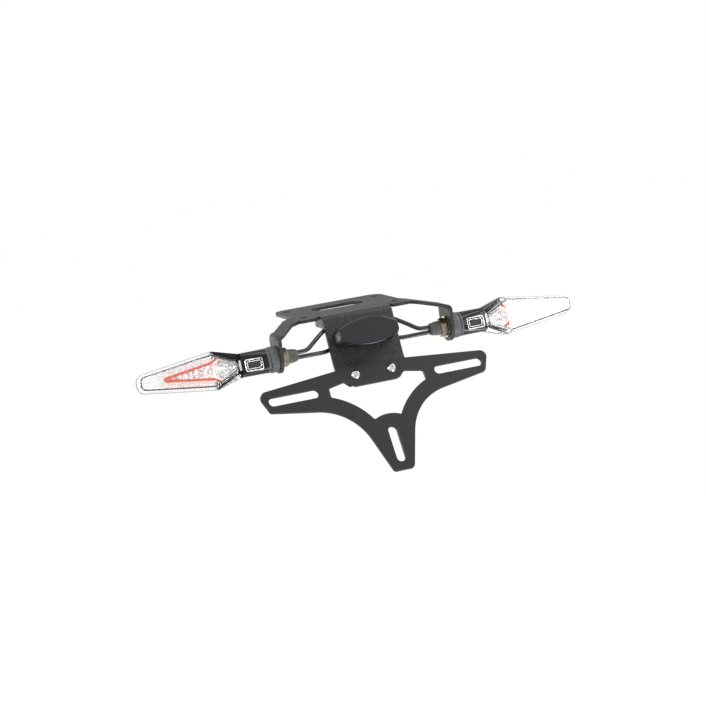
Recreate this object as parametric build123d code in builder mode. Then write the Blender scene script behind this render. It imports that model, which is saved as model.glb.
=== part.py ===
from build123d import *

import os
from math import cos, radians, sin, tan

# Tail tidy for a motorbike: a folded steel bracket bolts under the tail and carries the number-plate
# carrier, the plate light and a pair of LED indicators.
# Millimetres, +X to the rider's right, +Y forward, +Z up. The origin is on the upper face of the
# bracket's top plate, at the centre of its four tail-bolt holes.

# Sheet steel
bracket_sheet = 2.5
carrier_sheet = 3.0
bend_radius = 2.0
fit_gap = 0.2

# Top plate of the bracket
top_width = 92.0
top_depth = 70.0
top_corner_radius = 10.0
tail_hole_pitch_x = 76.0
tail_hole_pitch_y = 44.0
tail_hole_radius = 3.25
aperture_length = 44.0
aperture_width = 18.0
aperture_forward = 7.0

# Panel behind the plate light, and the flange below it that holds the carrier
panel_width = 58.0
panel_length = 38.9
panel_tilt = 20.0
panel_setback = 2.4
relief_width = 2.5
relief_depth = 5.0
flange_length = 19.0
flange_corner = 8.0
carrier_tilt = 30.0
carrier_bolt_drop = 11.4

# Wings that reach out to the indicator tabs
wing_root_width = 22.0
wing_root_setback = 2.0
wing_turn_out = 6.5
wing_reach = 26.5
wing_drop = 6.0
wing_overlap = 4.0
tab_width = 23.0

# Number-plate carrier, measured in its own plane from the midpoint of its two bolts
carrier_bolt_pitch = 30.0
carrier_top = 7.0
carrier_level_half = 16.0
arm_tip_x = 96.3
arm_tip_y = -0.8
arm_heel_x = 89.5
arm_heel_y = -17.6
crotch_x = 26.1
crotch_y = -28.1
crotch_radius = 44.0
crotch_band = 12.0
leg_half_width = 8.1
leg_end_y = -82.6
shoulder_radius = 20.0
arm_tip_radius = 5.0
arm_heel_radius = 2.5
leg_corner_radius = 3.0
arm_slot_x = 68.6
arm_slot_y = -9.2
arm_slot_length = 40.4
slot_width = 7.2
leg_slot_y = -61.4
leg_slot_length = 29.2
lobe_half_width = 17.5
lobe_y = -9.4
notch_x = 24.8
notch_y = -4.2
window_corner_x = 39.4
window_corner_y = -7.0
window_side_lean = 2.2
window_floor_y = -36.3
window_floor_radius = 25.0
window_corner_radius = 1.2

# Carrier fasteners, M4 button heads with washers and nuts
bolt_radius = 2.0
bolt_head_radius = 3.8
bolt_head_height = 2.3
bolt_head_round = 2.0
bolt_socket = 2.5
bolt_tail = 1.2
washer_radius = 4.5
washer_thickness = 0.8
nut_width = 7.0
nut_height = 3.2
thread_gap = 0.05

# Plate light
housing_drop = 20.0
housing_length = 50.0
housing_end_height = 10.0
housing_mid_height = 22.5
housing_depth = 17.0
housing_wall = 1.8
housing_draft = 2.0
housing_corner_radius = 2.0
housing_edge_radius = 1.0
gasket_thickness = 1.0
gasket_width = 2.6
boss_pitch = 30.0
boss_radius = 3.0
light_screw_radius = 1.5
light_screw_bite = 7.0
light_screw_head_radius = 2.75
light_screw_head_height = 2.0
light_window_length = 24.0
light_window_width = 8.0
light_window_radius = 2.0
light_window_out = 10.0
light_board_length = 28.0
light_board_width = 8.0
board_thickness = 1.0
light_led_size = 3.4
light_led_height = 1.6
light_led_pitch = 8.0
grommet_hole_radius = 4.5
grommet_flange_radius = 6.2
grommet_flange = 1.2
grommet_bore_radius = 2.0

# Indicator position and mounting
indicator_setback = 10.0
indicator_z = -24.0
stud_radius = 4.0
stud_bore_radius = 2.4
wire_bore_reach = 3.0
stud_bite = 7.0
stud_stickout = 1.8
stud_washer_radius = 8.5
stud_washer_thickness = 1.2
stud_nut_width = 13.0
stud_nut_height = 5.0
collar_radius = 10.2
collar_length = 6.6
collar_groove = 0.7
collar_lip = 1.8
collar_lip_radius = 9.7
boot_radius = 5.6
boot_length = 8.3
boot_round = 1.5

# Indicator stalk and head, turned on the stud so that the lens looks a little upwards
indicator_tilt = 12.0
stalk_length = 20.0
stalk_root_depth = 17.0
stalk_root_height = 19.2
stalk_root_radius = 8.0
stalk_end_depth = 13.0
stalk_end_height = 18.6
stalk_end_radius = 3.0
head_sweep = 5.0
head_length = 81.0
head_root_half = 5.0
head_peak_out = 21.5
head_peak_half = 15.0
head_tip_half = 6.9
head_peak_radius = 4.0
head_tip_radius = 6.7
head_root_radius = 3.9
parting_forward = 2.0
lens_depth = 8.5
lens_draft = 16.5
lens_wall = 1.5
lens_edge_radius = 1.4
shell_depth = 7.5
shell_draft = 14.0
shell_edge_radius = 1.0
yoke_length = 20.5
yoke_cheek = 0.6
yoke_cheek_depth = 4.0
yoke_cheek_rise = 0.6
reflector_depth = 3.0
led_cup_radius = 1.3
led_cup_flare = 32.0
led_radius = 1.0
led_height = 1.3
guide_width = 2.0
guide_depth = 1.8
guide_tip_out = 65.8
guide_tip_radius = 1.1
guide_heel_out = 22.0
guide_heel_half = 6.2
guide_toe_out = 17.5
guide_toe_half = 9.0
trim_length = 14.6
trim_height = 9.6
trim_bar = 1.2
trim_depth = 1.6
trim_corner_radius = 1.4
trim_seat = 5.8
trim_drop = 1.3
trim_out = 11.0
badge_depth = 0.8
badge_rim = 0.9
badge_line = 0.45

# Leads, plugs and their cradles under the top plate
lead_radius = 1.7
lead_pitch = 4.0
lead_arc_share = 0.45
turn_boot_run = 11.5
tail_boot_run = 8.5
turn_plug_run = 6.5
tail_plug_run = 7.0
plug_x = 13.0
plug_rear_y = -14.0
plug_width = 14.0
plug_length = 22.0
plug_height = 9.0
plug_entry_pitch = 5.0
plug_seal_length = 2.0
plug_seal_radius = 2.2
plug_wall = 1.5
plug_corner_radius = 1.2
plug_socket_depth = 11.0
plug_latch_width = 5.0
plug_latch_length = 9.0
plug_latch_height = 1.2
cradle_pad = 2.6
cradle_length = 12.0
cradle_wall = 1.6
cradle_grip = 5.0

# Planes and points that the pieces share
across = Vector(1, 0, 0)
panel_down = Vector(0, -sin(radians(panel_tilt)), -cos(radians(panel_tilt)))
panel_out = Vector(0, -cos(radians(panel_tilt)), sin(radians(panel_tilt)))
flange_down = Vector(0, -sin(radians(carrier_tilt)), -cos(radians(carrier_tilt)))
carrier_out = Vector(0, -cos(radians(carrier_tilt)), sin(radians(carrier_tilt)))

top_rear_y = -top_depth / 2
indicator_y = top_rear_y - indicator_setback
top_fold = Vector(0, top_rear_y - panel_setback, 0)
low_fold = top_fold + panel_down * panel_length
flange_end = low_fold + flange_down * flange_length
carrier_centre = low_fold + flange_down * carrier_bolt_drop + carrier_out * carrier_sheet

panel_plane = Plane(origin=top_fold + panel_down * housing_drop, x_dir=across, z_dir=panel_out)
carrier_plane = Plane(origin=carrier_centre, x_dir=across, z_dir=carrier_out)
flange_back = carrier_plane.offset(-carrier_sheet - bracket_sheet)
stud_axis = Plane(origin=(0, indicator_y, indicator_z), x_dir=(0, 1, 0), z_dir=across)
stud_line = Axis((0, indicator_y, indicator_z), across)

tab_face_x = top_width / 2 + wing_reach
wing_turn_x = top_width / 2 + wing_turn_out
tab_inner_x = tab_face_x - bracket_sheet
stalk_start_x = tab_face_x + collar_length + collar_groove + collar_lip
head_origin = Vector(stalk_start_x + stalk_length, indicator_y, indicator_z)
head_along = Vector(cos(radians(head_sweep)), sin(radians(head_sweep)), 0)
head_rear = Vector(sin(radians(head_sweep)), -cos(radians(head_sweep)), 0)
head_root_plane = Plane(origin=head_origin, x_dir=-head_rear, z_dir=head_along)
parting_origin = head_origin - head_rear * parting_forward
lens_plane = Plane(origin=parting_origin, x_dir=head_along, z_dir=head_rear)
shell_plane = Plane(origin=parting_origin, x_dir=head_along, z_dir=-head_rear)
yoke_end_plane = Plane(origin=parting_origin + head_along * yoke_length, z_dir=head_along)
trim_plane = Plane(
    origin=(stalk_start_x + trim_out, indicator_y - trim_seat, indicator_z - trim_drop),
    x_dir=across,
    z_dir=(0, -1, 0),
)
washer_x = tab_inner_x - stud_washer_thickness
nut_x = washer_x - stud_nut_height
boot_x = nut_x - boot_length
plug_top_z = -bracket_sheet - cradle_pad
plug_mid_z = plug_top_z - plug_height / 2

# LED places on the head, out from the stalk and up from its middle line
led_places = [(8.0, 0.0), (15.0, 4.4), (15.0, -4.4), (23.5, 0.0), (30.5, 0.0)]

# Corners of the leads' routes, out from the middle, back from the top plate's rear edge, and up
turn_lead_places = [(29.0, 7.0, -26.6), (17.0, 1.5, -22.0), (11.5, -6.0, -13.5)]
tail_lead_places = [(38.0, 6.0, -16.0), (28.0, 1.0, -10.3), (19.5, -4.0, -9.7)]


def save(piece, name):
    """Label a finished piece and write its file."""
    piece.label = name
    export_step(piece, f"parts/{name}.step")


os.makedirs("parts", exist_ok=True)

# Main bracket: one folded sheet with top plate, panel, flange, two wings and two tabs

tab_rear_y = indicator_y - tab_width / 2
tab_front_y = indicator_y + tab_width / 2
wing_rear_y = top_rear_y + wing_root_setback
wing_front_y = wing_rear_y + wing_root_width
tab_fold_x = tab_face_x - bracket_sheet - bend_radius

with BuildPart() as wing:
    with BuildSketch(Plane.XZ):
        with BuildLine():
            FilletPolyline(
                (top_width / 2 - wing_overlap, 0),
                (top_width / 2, 0),
                (tab_face_x, -wing_drop),
                (tab_face_x, indicator_z - tab_width / 2),
                radius=bend_radius + bracket_sheet,
            )
            offset(amount=bracket_sheet, side=Side.RIGHT)
        make_face()
    extrude(amount=top_depth, both=True)
    with BuildSketch():
        with BuildLine():
            Polyline(
                (top_width / 2 - wing_overlap, wing_rear_y),
                (wing_turn_x, wing_rear_y),
                (tab_fold_x, tab_rear_y),
                (tab_face_x, tab_rear_y),
                (tab_face_x, tab_front_y),
                (tab_fold_x, tab_front_y),
                (wing_turn_x, wing_front_y),
                (top_width / 2 - wing_overlap, wing_front_y),
                close=True,
            )
        make_face()
    extrude(amount=top_depth, both=True, mode=Mode.INTERSECT)
    with BuildSketch(Plane.YZ):
        with Locations((indicator_y, indicator_z)):
            Circle(tab_width / 2)
        with Locations((tab_rear_y, indicator_z)):
            Rectangle(wing_front_y - tab_rear_y, -indicator_z, align=(Align.MIN, Align.MIN))
    extrude(amount=tab_face_x, mode=Mode.INTERSECT)
    with BuildSketch(stud_axis.offset(tab_face_x)):
        Circle(stud_radius + fit_gap)
    extrude(amount=-bracket_sheet, mode=Mode.SUBTRACT)

with BuildPart() as main_bracket:
    with BuildSketch(Plane.YZ):
        with BuildLine():
            FilletPolyline(
                (top_depth / 2, 0),
                (top_fold.Y, top_fold.Z),
                (low_fold.Y, low_fold.Z),
                (flange_end.Y, flange_end.Z),
                radius=(bend_radius + bracket_sheet, bend_radius),
            )
            offset(amount=bracket_sheet, side=Side.LEFT)
        make_face()
    extrude(amount=panel_width / 2, both=True)
    chamfer(main_bracket.edges().filter_by(Axis((0, 0, 0), carrier_out)), length=flange_corner)
    with BuildSketch() as top_plate:
        Rectangle(top_width, top_depth)
        fillet(top_plate.vertices().group_by(Axis.Y)[-1], radius=top_corner_radius)
    extrude(amount=-bracket_sheet)
    add(wing.part)
    add(mirror(wing.part, about=Plane.YZ, mode=Mode.PRIVATE))
    with BuildSketch():
        with Locations((0, top_rear_y + relief_depth / 2)):
            with GridLocations(panel_width + relief_width, 0, 2, 1):
                Rectangle(relief_width, relief_depth)
        with GridLocations(tail_hole_pitch_x, tail_hole_pitch_y, 2, 2):
            Circle(tail_hole_radius)
        with Locations((0, aperture_forward)):
            SlotOverall(aperture_length, aperture_width)
    extrude(amount=-bracket_sheet, mode=Mode.SUBTRACT)
    with BuildSketch(flange_back):
        with GridLocations(carrier_bolt_pitch, 0, 2, 1):
            Circle(bolt_radius + fit_gap)
    extrude(amount=bracket_sheet, mode=Mode.SUBTRACT)
    with BuildSketch(panel_plane):
        Circle(grommet_hole_radius)
        with GridLocations(boss_pitch, 0, 2, 1):
            Circle(light_screw_radius + fit_gap)
    extrude(amount=-bracket_sheet, mode=Mode.SUBTRACT)
save(main_bracket.part, "main_bracket")

# Number-plate carrier: a flat laser-cut Y with plate-bolt slots in both arms and the leg

arm_way = (Vector(arm_heel_x, arm_heel_y) - Vector(crotch_x, crotch_y)).normalized()
leg_way = (Vector(leg_half_width, leg_end_y) - Vector(crotch_x, crotch_y)).normalized()
crotch_way = (arm_way + leg_way).normalized()
crotch_reach = crotch_radius / sin(radians(arm_way.get_angle(crotch_way)))
crotch_centre = Vector(crotch_x, crotch_y) + crotch_way * crotch_reach

with BuildPart() as plate_carrier:
    with BuildSketch(carrier_plane):
        with BuildLine():
            FilletPolyline(
                (0, carrier_top),
                (carrier_level_half, carrier_top),
                (arm_tip_x, arm_tip_y),
                (arm_heel_x, arm_heel_y),
                (crotch_x, crotch_y),
                (leg_half_width, leg_end_y),
                (0, leg_end_y),
                radius=(shoulder_radius, arm_tip_radius, arm_heel_radius, crotch_radius, leg_corner_radius),
            )
            mirror(about=Plane.YZ)
        make_face()
        with GridLocations(carrier_bolt_pitch, 0, 2, 1):
            Circle(bolt_radius + fit_gap, mode=Mode.SUBTRACT)
        with Locations((arm_slot_x, arm_slot_y), (-arm_slot_x, arm_slot_y)):
            SlotOverall(arm_slot_length, slot_width, mode=Mode.SUBTRACT)
        with Locations((0, leg_slot_y)):
            SlotOverall(leg_slot_length, slot_width, rotation=90, mode=Mode.SUBTRACT)
    extrude(amount=-carrier_sheet)
    with BuildSketch(carrier_plane) as window:
        with BuildLine():
            Polyline(
                (0, lobe_y),
                (lobe_half_width, lobe_y),
                (notch_x, notch_y),
                (window_corner_x, window_corner_y),
                (window_corner_x + window_side_lean, crotch_centre.Y),
                (0, crotch_centre.Y),
            )
            mirror(about=Plane.YZ)
        make_face()
        with Locations((crotch_centre.X, crotch_centre.Y), (-crotch_centre.X, crotch_centre.Y)):
            Circle(crotch_radius + crotch_band, mode=Mode.SUBTRACT)
        with Locations((0, window_floor_y - window_floor_radius)):
            Circle(window_floor_radius, mode=Mode.SUBTRACT)
        fillet(window.vertices(), radius=window_corner_radius)
    extrude(amount=-carrier_sheet, mode=Mode.SUBTRACT)
save(plate_carrier.part, "plate_carrier")

# Carrier fasteners

with BuildPart() as carrier_bolts:
    with BuildSketch(carrier_plane):
        with GridLocations(carrier_bolt_pitch, 0, 2, 1):
            Circle(bolt_head_radius)
    extrude(amount=bolt_head_height)
    head_rims = carrier_bolts.faces().filter_by(Axis((0, 0, 0), carrier_out)).group_by(Axis.Y)[0].edges()
    fillet(head_rims, radius=bolt_head_round)
    with BuildSketch(carrier_plane.offset(bolt_head_height)):
        with GridLocations(carrier_bolt_pitch, 0, 2, 1):
            RegularPolygon(bolt_socket / 2, 6, major_radius=False)
    extrude(amount=-bolt_head_height / 2, mode=Mode.SUBTRACT)
    with BuildSketch(carrier_plane):
        with GridLocations(carrier_bolt_pitch, 0, 2, 1):
            Circle(bolt_radius)
    extrude(amount=-(carrier_sheet + bracket_sheet + washer_thickness + nut_height + bolt_tail))
save(carrier_bolts.part, "carrier_bolts")

with BuildPart() as carrier_washers:
    with BuildSketch(flange_back):
        with GridLocations(carrier_bolt_pitch, 0, 2, 1):
            Circle(washer_radius)
            Circle(bolt_radius + fit_gap, mode=Mode.SUBTRACT)
    extrude(amount=-washer_thickness)
save(carrier_washers.part, "carrier_washers")

with BuildPart() as carrier_nuts:
    with BuildSketch(flange_back.offset(-washer_thickness)):
        with GridLocations(carrier_bolt_pitch, 0, 2, 1):
            RegularPolygon(nut_width / 2, 6, major_radius=False)
            Circle(bolt_radius + thread_gap, mode=Mode.SUBTRACT)
    extrude(amount=-nut_height)
save(carrier_nuts.part, "carrier_nuts")

# Plate light: a barrel-shaped housing whose lens looks down on the number plate

housing_plane = panel_plane.offset(gasket_thickness)
light_window_plane = Plane(
    origin=panel_plane.origin + panel_out * light_window_out + panel_down * (boss_radius + fit_gap),
    x_dir=across,
    z_dir=panel_down,
)

with BuildSketch() as housing_outline:
    with BuildLine():
        ThreePointArc(
            (-housing_length / 2, housing_end_height / 2),
            (0, housing_mid_height / 2),
            (housing_length / 2, housing_end_height / 2),
        )
        mirror(about=Plane.XZ)
        for end in (-housing_length / 2, housing_length / 2):
            Line((end, -housing_end_height / 2), (end, housing_end_height / 2))
    make_face()
    fillet(housing_outline.vertices(), radius=housing_corner_radius)

housing_taper = tan(radians(housing_draft))
inner_depth = housing_depth - housing_wall

with BuildPart() as housing_shell:
    with BuildSketch(housing_plane):
        add(housing_outline.sketch_local)
    with BuildSketch(housing_plane.offset(housing_depth)):
        add(housing_outline.sketch_local)
        offset(amount=-housing_depth * housing_taper)
    loft()
    face_rim = housing_shell.faces().sort_by(Axis((0, 0, 0), panel_out))[-1].edges()
    fillet(face_rim, radius=housing_edge_radius)
    with BuildSketch(housing_plane):
        add(housing_outline.sketch_local)
        offset(amount=-housing_wall)
    with BuildSketch(housing_plane.offset(inner_depth)):
        add(housing_outline.sketch_local)
        offset(amount=-housing_wall - inner_depth * housing_taper)
    loft(mode=Mode.SUBTRACT)

with BuildPart() as light_housing:
    add(housing_shell.part)
    with BuildSketch(light_window_plane):
        RectangleRounded(light_window_length, light_window_width, light_window_radius)
    extrude(amount=housing_mid_height, mode=Mode.SUBTRACT)
    with BuildSketch(panel_plane):
        with GridLocations(boss_pitch, 0, 2, 1):
            Circle(boss_radius)
    extrude(amount=housing_depth + gasket_thickness - housing_wall)
    with BuildSketch(panel_plane):
        with GridLocations(boss_pitch, 0, 2, 1):
            Circle(light_screw_radius + thread_gap)
    extrude(amount=light_screw_bite + fit_gap, mode=Mode.SUBTRACT)
save(light_housing.part, "light_housing")

with BuildPart() as light_lens:
    add(housing_shell.part)
    with BuildSketch(light_window_plane):
        RectangleRounded(light_window_length, light_window_width, light_window_radius)
        offset(amount=-fit_gap)
    extrude(amount=housing_mid_height, mode=Mode.INTERSECT)
save(light_lens.part, "light_lens")

with BuildPart() as light_board:
    with BuildSketch(light_window_plane):
        Rectangle(light_board_length, light_board_width)
    extrude(amount=board_thickness)
save(light_board.part, "light_board")

with BuildPart() as light_leds:
    with BuildSketch(light_window_plane.offset(board_thickness)):
        with GridLocations(light_led_pitch, 0, 3, 1):
            Rectangle(light_led_size, light_led_size)
    extrude(amount=light_led_height)
save(light_leds.part, "light_leds")

with BuildPart() as light_gasket:
    with BuildSketch(panel_plane):
        add(housing_outline.sketch_local)
        offset(housing_outline.sketch_local, amount=-gasket_width, mode=Mode.SUBTRACT)
    extrude(amount=gasket_thickness)
save(light_gasket.part, "light_gasket")

with BuildPart() as light_screws:
    with BuildSketch(panel_plane.offset(-bracket_sheet)):
        with GridLocations(boss_pitch, 0, 2, 1):
            Circle(light_screw_head_radius)
    extrude(amount=-light_screw_head_height)
    with BuildSketch(panel_plane.offset(-bracket_sheet)):
        with GridLocations(boss_pitch, 0, 2, 1):
            Circle(light_screw_radius)
    extrude(amount=bracket_sheet + light_screw_bite)
save(light_screws.part, "light_screws")

with BuildPart() as wiring_grommet:
    with BuildSketch(panel_plane.offset(grommet_flange)):
        Circle(grommet_flange_radius)
    extrude(amount=-bracket_sheet - 2 * grommet_flange)
    with BuildSketch(panel_plane):
        Circle(grommet_flange_radius)
        Circle(grommet_hole_radius - thread_gap, mode=Mode.SUBTRACT)
    extrude(amount=-bracket_sheet, mode=Mode.SUBTRACT)
    with BuildSketch(panel_plane.offset(grommet_flange)):
        Circle(grommet_bore_radius)
    extrude(amount=-bracket_sheet - 2 * grommet_flange, mode=Mode.SUBTRACT)
save(wiring_grommet.part, "wiring_grommet")

# Indicators: the right-hand pieces, which the last loop also mirrors to the left

head_radii = [head_root_radius, head_peak_radius, head_tip_radius]
with BuildSketch() as head_outline:
    with BuildLine():
        FilletPolyline(
            (0, head_root_half),
            (head_peak_out, head_peak_half),
            (head_length, head_tip_half),
            (head_length, -head_tip_half),
            (head_peak_out, -head_peak_half),
            (0, -head_root_half),
            radius=head_radii + head_radii[::-1],
            close=True,
        )
    make_face()
head_form = head_outline.sketch_local

with BuildPart() as indicator_collar:
    with BuildSketch(stud_axis.offset(tab_face_x)):
        Circle(collar_radius)
    extrude(amount=collar_length)
    fillet(indicator_collar.faces().sort_by(Axis.X)[-1].edges(), radius=collar_groove)
    with BuildSketch(stud_axis.offset(tab_face_x + collar_length)):
        Circle(collar_lip_radius - collar_groove)
    extrude(amount=collar_groove)
    with BuildSketch(stud_axis.offset(tab_face_x + collar_length + collar_groove)):
        Circle(collar_lip_radius)
    extrude(amount=collar_lip)
    with BuildSketch(stud_axis.offset(tab_face_x)):
        Circle(stud_radius + fit_gap)
    extrude(amount=stalk_start_x - tab_face_x, mode=Mode.SUBTRACT)

with BuildPart() as indicator_stud:
    with BuildSketch(stud_axis.offset(nut_x - stud_stickout)):
        Circle(stud_radius)
        Circle(stud_bore_radius, mode=Mode.SUBTRACT)
    extrude(amount=stalk_start_x + stud_bite - nut_x + stud_stickout)

with BuildPart() as indicator_washer:
    with BuildSketch(stud_axis.offset(washer_x)):
        Circle(stud_washer_radius)
        Circle(stud_radius + fit_gap, mode=Mode.SUBTRACT)
    extrude(amount=stud_washer_thickness)

with BuildPart() as indicator_nut:
    with BuildSketch(stud_axis.offset(nut_x)):
        RegularPolygon(stud_nut_width / 2, 6, major_radius=False)
        Circle(stud_radius + thread_gap, mode=Mode.SUBTRACT)
    extrude(amount=stud_nut_height)

with BuildPart() as indicator_boot:
    with BuildSketch(stud_axis.offset(boot_x)):
        Circle(boot_radius)
    extrude(amount=boot_length)
    fillet(indicator_boot.faces().sort_by(Axis.X)[0].edges(), radius=boot_round)
    with BuildSketch(stud_axis.offset(nut_x)):
        Circle(stud_radius + fit_gap)
    extrude(amount=-stud_stickout - fit_gap, mode=Mode.SUBTRACT)

with BuildPart() as rear_shell:
    with BuildSketch(shell_plane):
        add(head_form)
    extrude(amount=shell_depth, taper=shell_draft)
    fillet(rear_shell.faces().sort_by(Axis((0, 0, 0), -head_rear))[-1].edges(), radius=shell_edge_radius)
    with BuildSketch(shell_plane):
        add(head_form)
        offset(amount=-lens_wall)
    extrude(amount=shell_depth - lens_wall, taper=shell_draft, mode=Mode.SUBTRACT)

yoke_end_half = head_root_half + (head_peak_half - head_root_half) * yoke_length / head_peak_out + yoke_cheek
with BuildSketch() as yoke_outline:
    with BuildLine():
        Polyline(
            (0, stalk_end_height / 2),
            (yoke_length, yoke_end_half),
            (yoke_length, -yoke_end_half),
            (0, -stalk_end_height / 2),
            close=True,
        )
    make_face()
yoke_form = yoke_outline.sketch_local

with BuildPart() as yoke_shell:
    add(rear_shell.part)
    split(bisect_by=yoke_end_plane, keep=Keep.BOTTOM)

with BuildPart() as indicator_body:
    with BuildSketch(shell_plane):
        add(yoke_form)
    extrude(amount=yoke_cheek_depth)
    with BuildSketch(shell_plane):
        add(head_form)
        offset(amount=-lens_wall)
    extrude(amount=shell_depth - lens_wall, taper=shell_draft, mode=Mode.SUBTRACT)
    with BuildSketch(lens_plane):
        add(yoke_form)
        offset(head_form, amount=fit_gap, mode=Mode.SUBTRACT)
    extrude(amount=yoke_cheek_rise)
    add(yoke_shell.part)
    with BuildSketch(stud_axis.offset(stalk_start_x)):
        RectangleRounded(stalk_root_depth, stalk_root_height, stalk_root_radius)
    with BuildSketch(head_root_plane):
        RectangleRounded(stalk_end_depth, stalk_end_height, stalk_end_radius)
    loft()
    with BuildSketch(shell_plane.offset(board_thickness + fit_gap)):
        Rectangle(
            lens_wall + shell_depth * tan(radians(shell_draft)),
            2 * (head_root_half - head_root_radius),
            align=(Align.MIN, Align.CENTER),
        )
    extrude(amount=stalk_end_depth / 2 - parting_forward - board_thickness - fit_gap)
    with BuildSketch(stud_axis.offset(stalk_start_x)):
        Circle(stud_radius + thread_gap)
    extrude(amount=stud_bite + thread_gap, mode=Mode.SUBTRACT)
    with BuildSketch(stud_axis.offset(stalk_start_x)):
        Circle(stud_bore_radius)
    extrude(amount=stalk_length + wire_bore_reach, mode=Mode.SUBTRACT)
    with BuildSketch(trim_plane):
        RectangleRounded(trim_length + fit_gap, trim_height + fit_gap, trim_corner_radius)
    extrude(amount=stalk_root_depth, mode=Mode.SUBTRACT)

with BuildPart() as indicator_rear_lens:
    add(rear_shell.part)
    split(bisect_by=yoke_end_plane.offset(fit_gap), keep=Keep.TOP)

with BuildPart() as indicator_lens:
    with BuildSketch(lens_plane):
        add(head_form)
    extrude(amount=lens_depth, taper=lens_draft)
    fillet(indicator_lens.faces().sort_by(Axis((0, 0, 0), head_rear))[-1].edges(), radius=lens_edge_radius)
    with BuildSketch(lens_plane):
        add(head_form)
        offset(amount=-lens_wall)
    extrude(amount=lens_depth - lens_wall, taper=lens_draft, mode=Mode.SUBTRACT)

with BuildPart() as indicator_reflector:
    with BuildSketch(lens_plane):
        add(head_form)
        offset(amount=-lens_wall - fit_gap)
    extrude(amount=reflector_depth, taper=lens_draft)
    with BuildSketch(lens_plane):
        with Locations(*led_places):
            Circle(led_cup_radius)
    extrude(amount=reflector_depth, taper=-led_cup_flare, mode=Mode.SUBTRACT)

with BuildPart() as indicator_board:
    with BuildSketch(shell_plane):
        add(head_form)
        offset(amount=-lens_wall - fit_gap - board_thickness * tan(radians(shell_draft)))
    extrude(amount=board_thickness)

with BuildPart() as indicator_leds:
    with BuildSketch(lens_plane):
        with Locations(*led_places):
            Circle(led_radius)
    extrude(amount=led_height)

with BuildPart() as indicator_guide:
    with BuildSketch(lens_plane.offset(reflector_depth)):
        with BuildLine() as guide_line:
            FilletPolyline(
                (guide_toe_out, guide_toe_half),
                (guide_heel_out, guide_heel_half),
                (guide_tip_out, 0),
                (guide_heel_out, -guide_heel_half),
                (guide_toe_out, -guide_toe_half),
                radius=guide_tip_radius,
            )
        trace(guide_line.line, line_width=guide_width)
    extrude(amount=guide_depth)

with BuildPart() as indicator_trim:
    with BuildSketch(trim_plane):
        RectangleRounded(trim_length, trim_height, trim_corner_radius)
        Rectangle(trim_length - 2 * trim_bar, trim_height - 2 * trim_bar, mode=Mode.SUBTRACT)
    extrude(amount=trim_depth)

badge_length = trim_length - 2 * trim_bar - 2 * fit_gap
badge_height = trim_height - 2 * trim_bar - 2 * fit_gap
with BuildPart() as indicator_badge:
    with BuildSketch(trim_plane):
        Rectangle(badge_length, badge_height)
    extrude(amount=badge_depth)
    with BuildSketch(trim_plane.offset(badge_depth)):
        Rectangle(badge_length - 2 * badge_rim, badge_height - 2 * badge_rim)
        offset(amount=-badge_line, mode=Mode.SUBTRACT)
    extrude(amount=badge_line)


def lead(points):
    """A round lead along straight runs, joined by the largest arcs that the runs allow."""
    stops = [Vector(point) for point in points]
    radii = []
    for before, corner, after in zip(stops, stops[1:], stops[2:]):
        turn = (corner - before).get_angle(after - corner)
        shorter_run = min((corner - before).length, (after - corner).length)
        radii.append(lead_arc_share * shorter_run / tan(radians(turn / 2)))
    with BuildPart() as cable:
        with BuildLine():
            route = FilletPolyline(*stops, radius=radii)
        with BuildSketch(Plane(origin=route @ 0, z_dir=route % 0)) as section:
            Circle(lead_radius)
        sweep(path=route)
    filled = cable.part.volume / (section.sketch.area * route.length)
    print("lead arcs", [round(radius, 1) for radius in radii])
    print("lead length", round(route.length, 1), "volume over section times length", round(filled, 4))
    return cable.part


plug_entry_y = plug_rear_y - plug_seal_length
turn_entry_x = plug_x - plug_entry_pitch / 2
tail_entry_x = plug_x + plug_entry_pitch / 2
turn_lead = lead(
    [
        (boot_x, indicator_y, indicator_z - lead_pitch / 2),
        (boot_x - turn_boot_run, indicator_y, indicator_z - lead_pitch / 2),
        *[(out, top_rear_y - back, up) for out, back, up in turn_lead_places],
        (turn_entry_x, plug_entry_y - turn_plug_run, plug_mid_z),
        (turn_entry_x, plug_entry_y, plug_mid_z),
    ]
)
tail_lead = lead(
    [
        (boot_x, indicator_y, indicator_z + lead_pitch / 2),
        (boot_x - tail_boot_run, indicator_y, indicator_z + lead_pitch / 2),
        *[(out, top_rear_y - back, up) for out, back, up in tail_lead_places],
        (tail_entry_x, plug_entry_y - tail_plug_run, plug_mid_z),
        (tail_entry_x, plug_entry_y, plug_mid_z),
    ]
)

plug_plane = Plane(origin=(plug_x, plug_rear_y, plug_mid_z), x_dir=across, z_dir=(0, 1, 0))
latch_plane = Plane(
    origin=(plug_x, plug_rear_y + plug_length / 2, plug_mid_z - plug_height / 2),
    x_dir=across,
    z_dir=(0, 0, -1),
)

with BuildPart() as lead_plug:
    with BuildSketch(plug_plane):
        RectangleRounded(plug_width, plug_height, plug_corner_radius)
    extrude(amount=plug_length)
    with BuildSketch(plug_plane):
        with GridLocations(plug_entry_pitch, 0, 2, 1):
            Circle(plug_seal_radius)
    extrude(amount=-plug_seal_length)
    with BuildSketch(plug_plane.offset(plug_length)):
        Rectangle(plug_width - 2 * plug_wall, plug_height - 2 * plug_wall)
    extrude(amount=-plug_socket_depth, mode=Mode.SUBTRACT)
    with BuildSketch(latch_plane):
        Rectangle(plug_latch_width, plug_latch_length)
    extrude(amount=plug_latch_height)

cradle_plane = Plane(origin=(plug_x, plug_rear_y, -bracket_sheet), x_dir=across, z_dir=(0, 1, 0))
plug_room = plug_width + 2 * fit_gap

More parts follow.
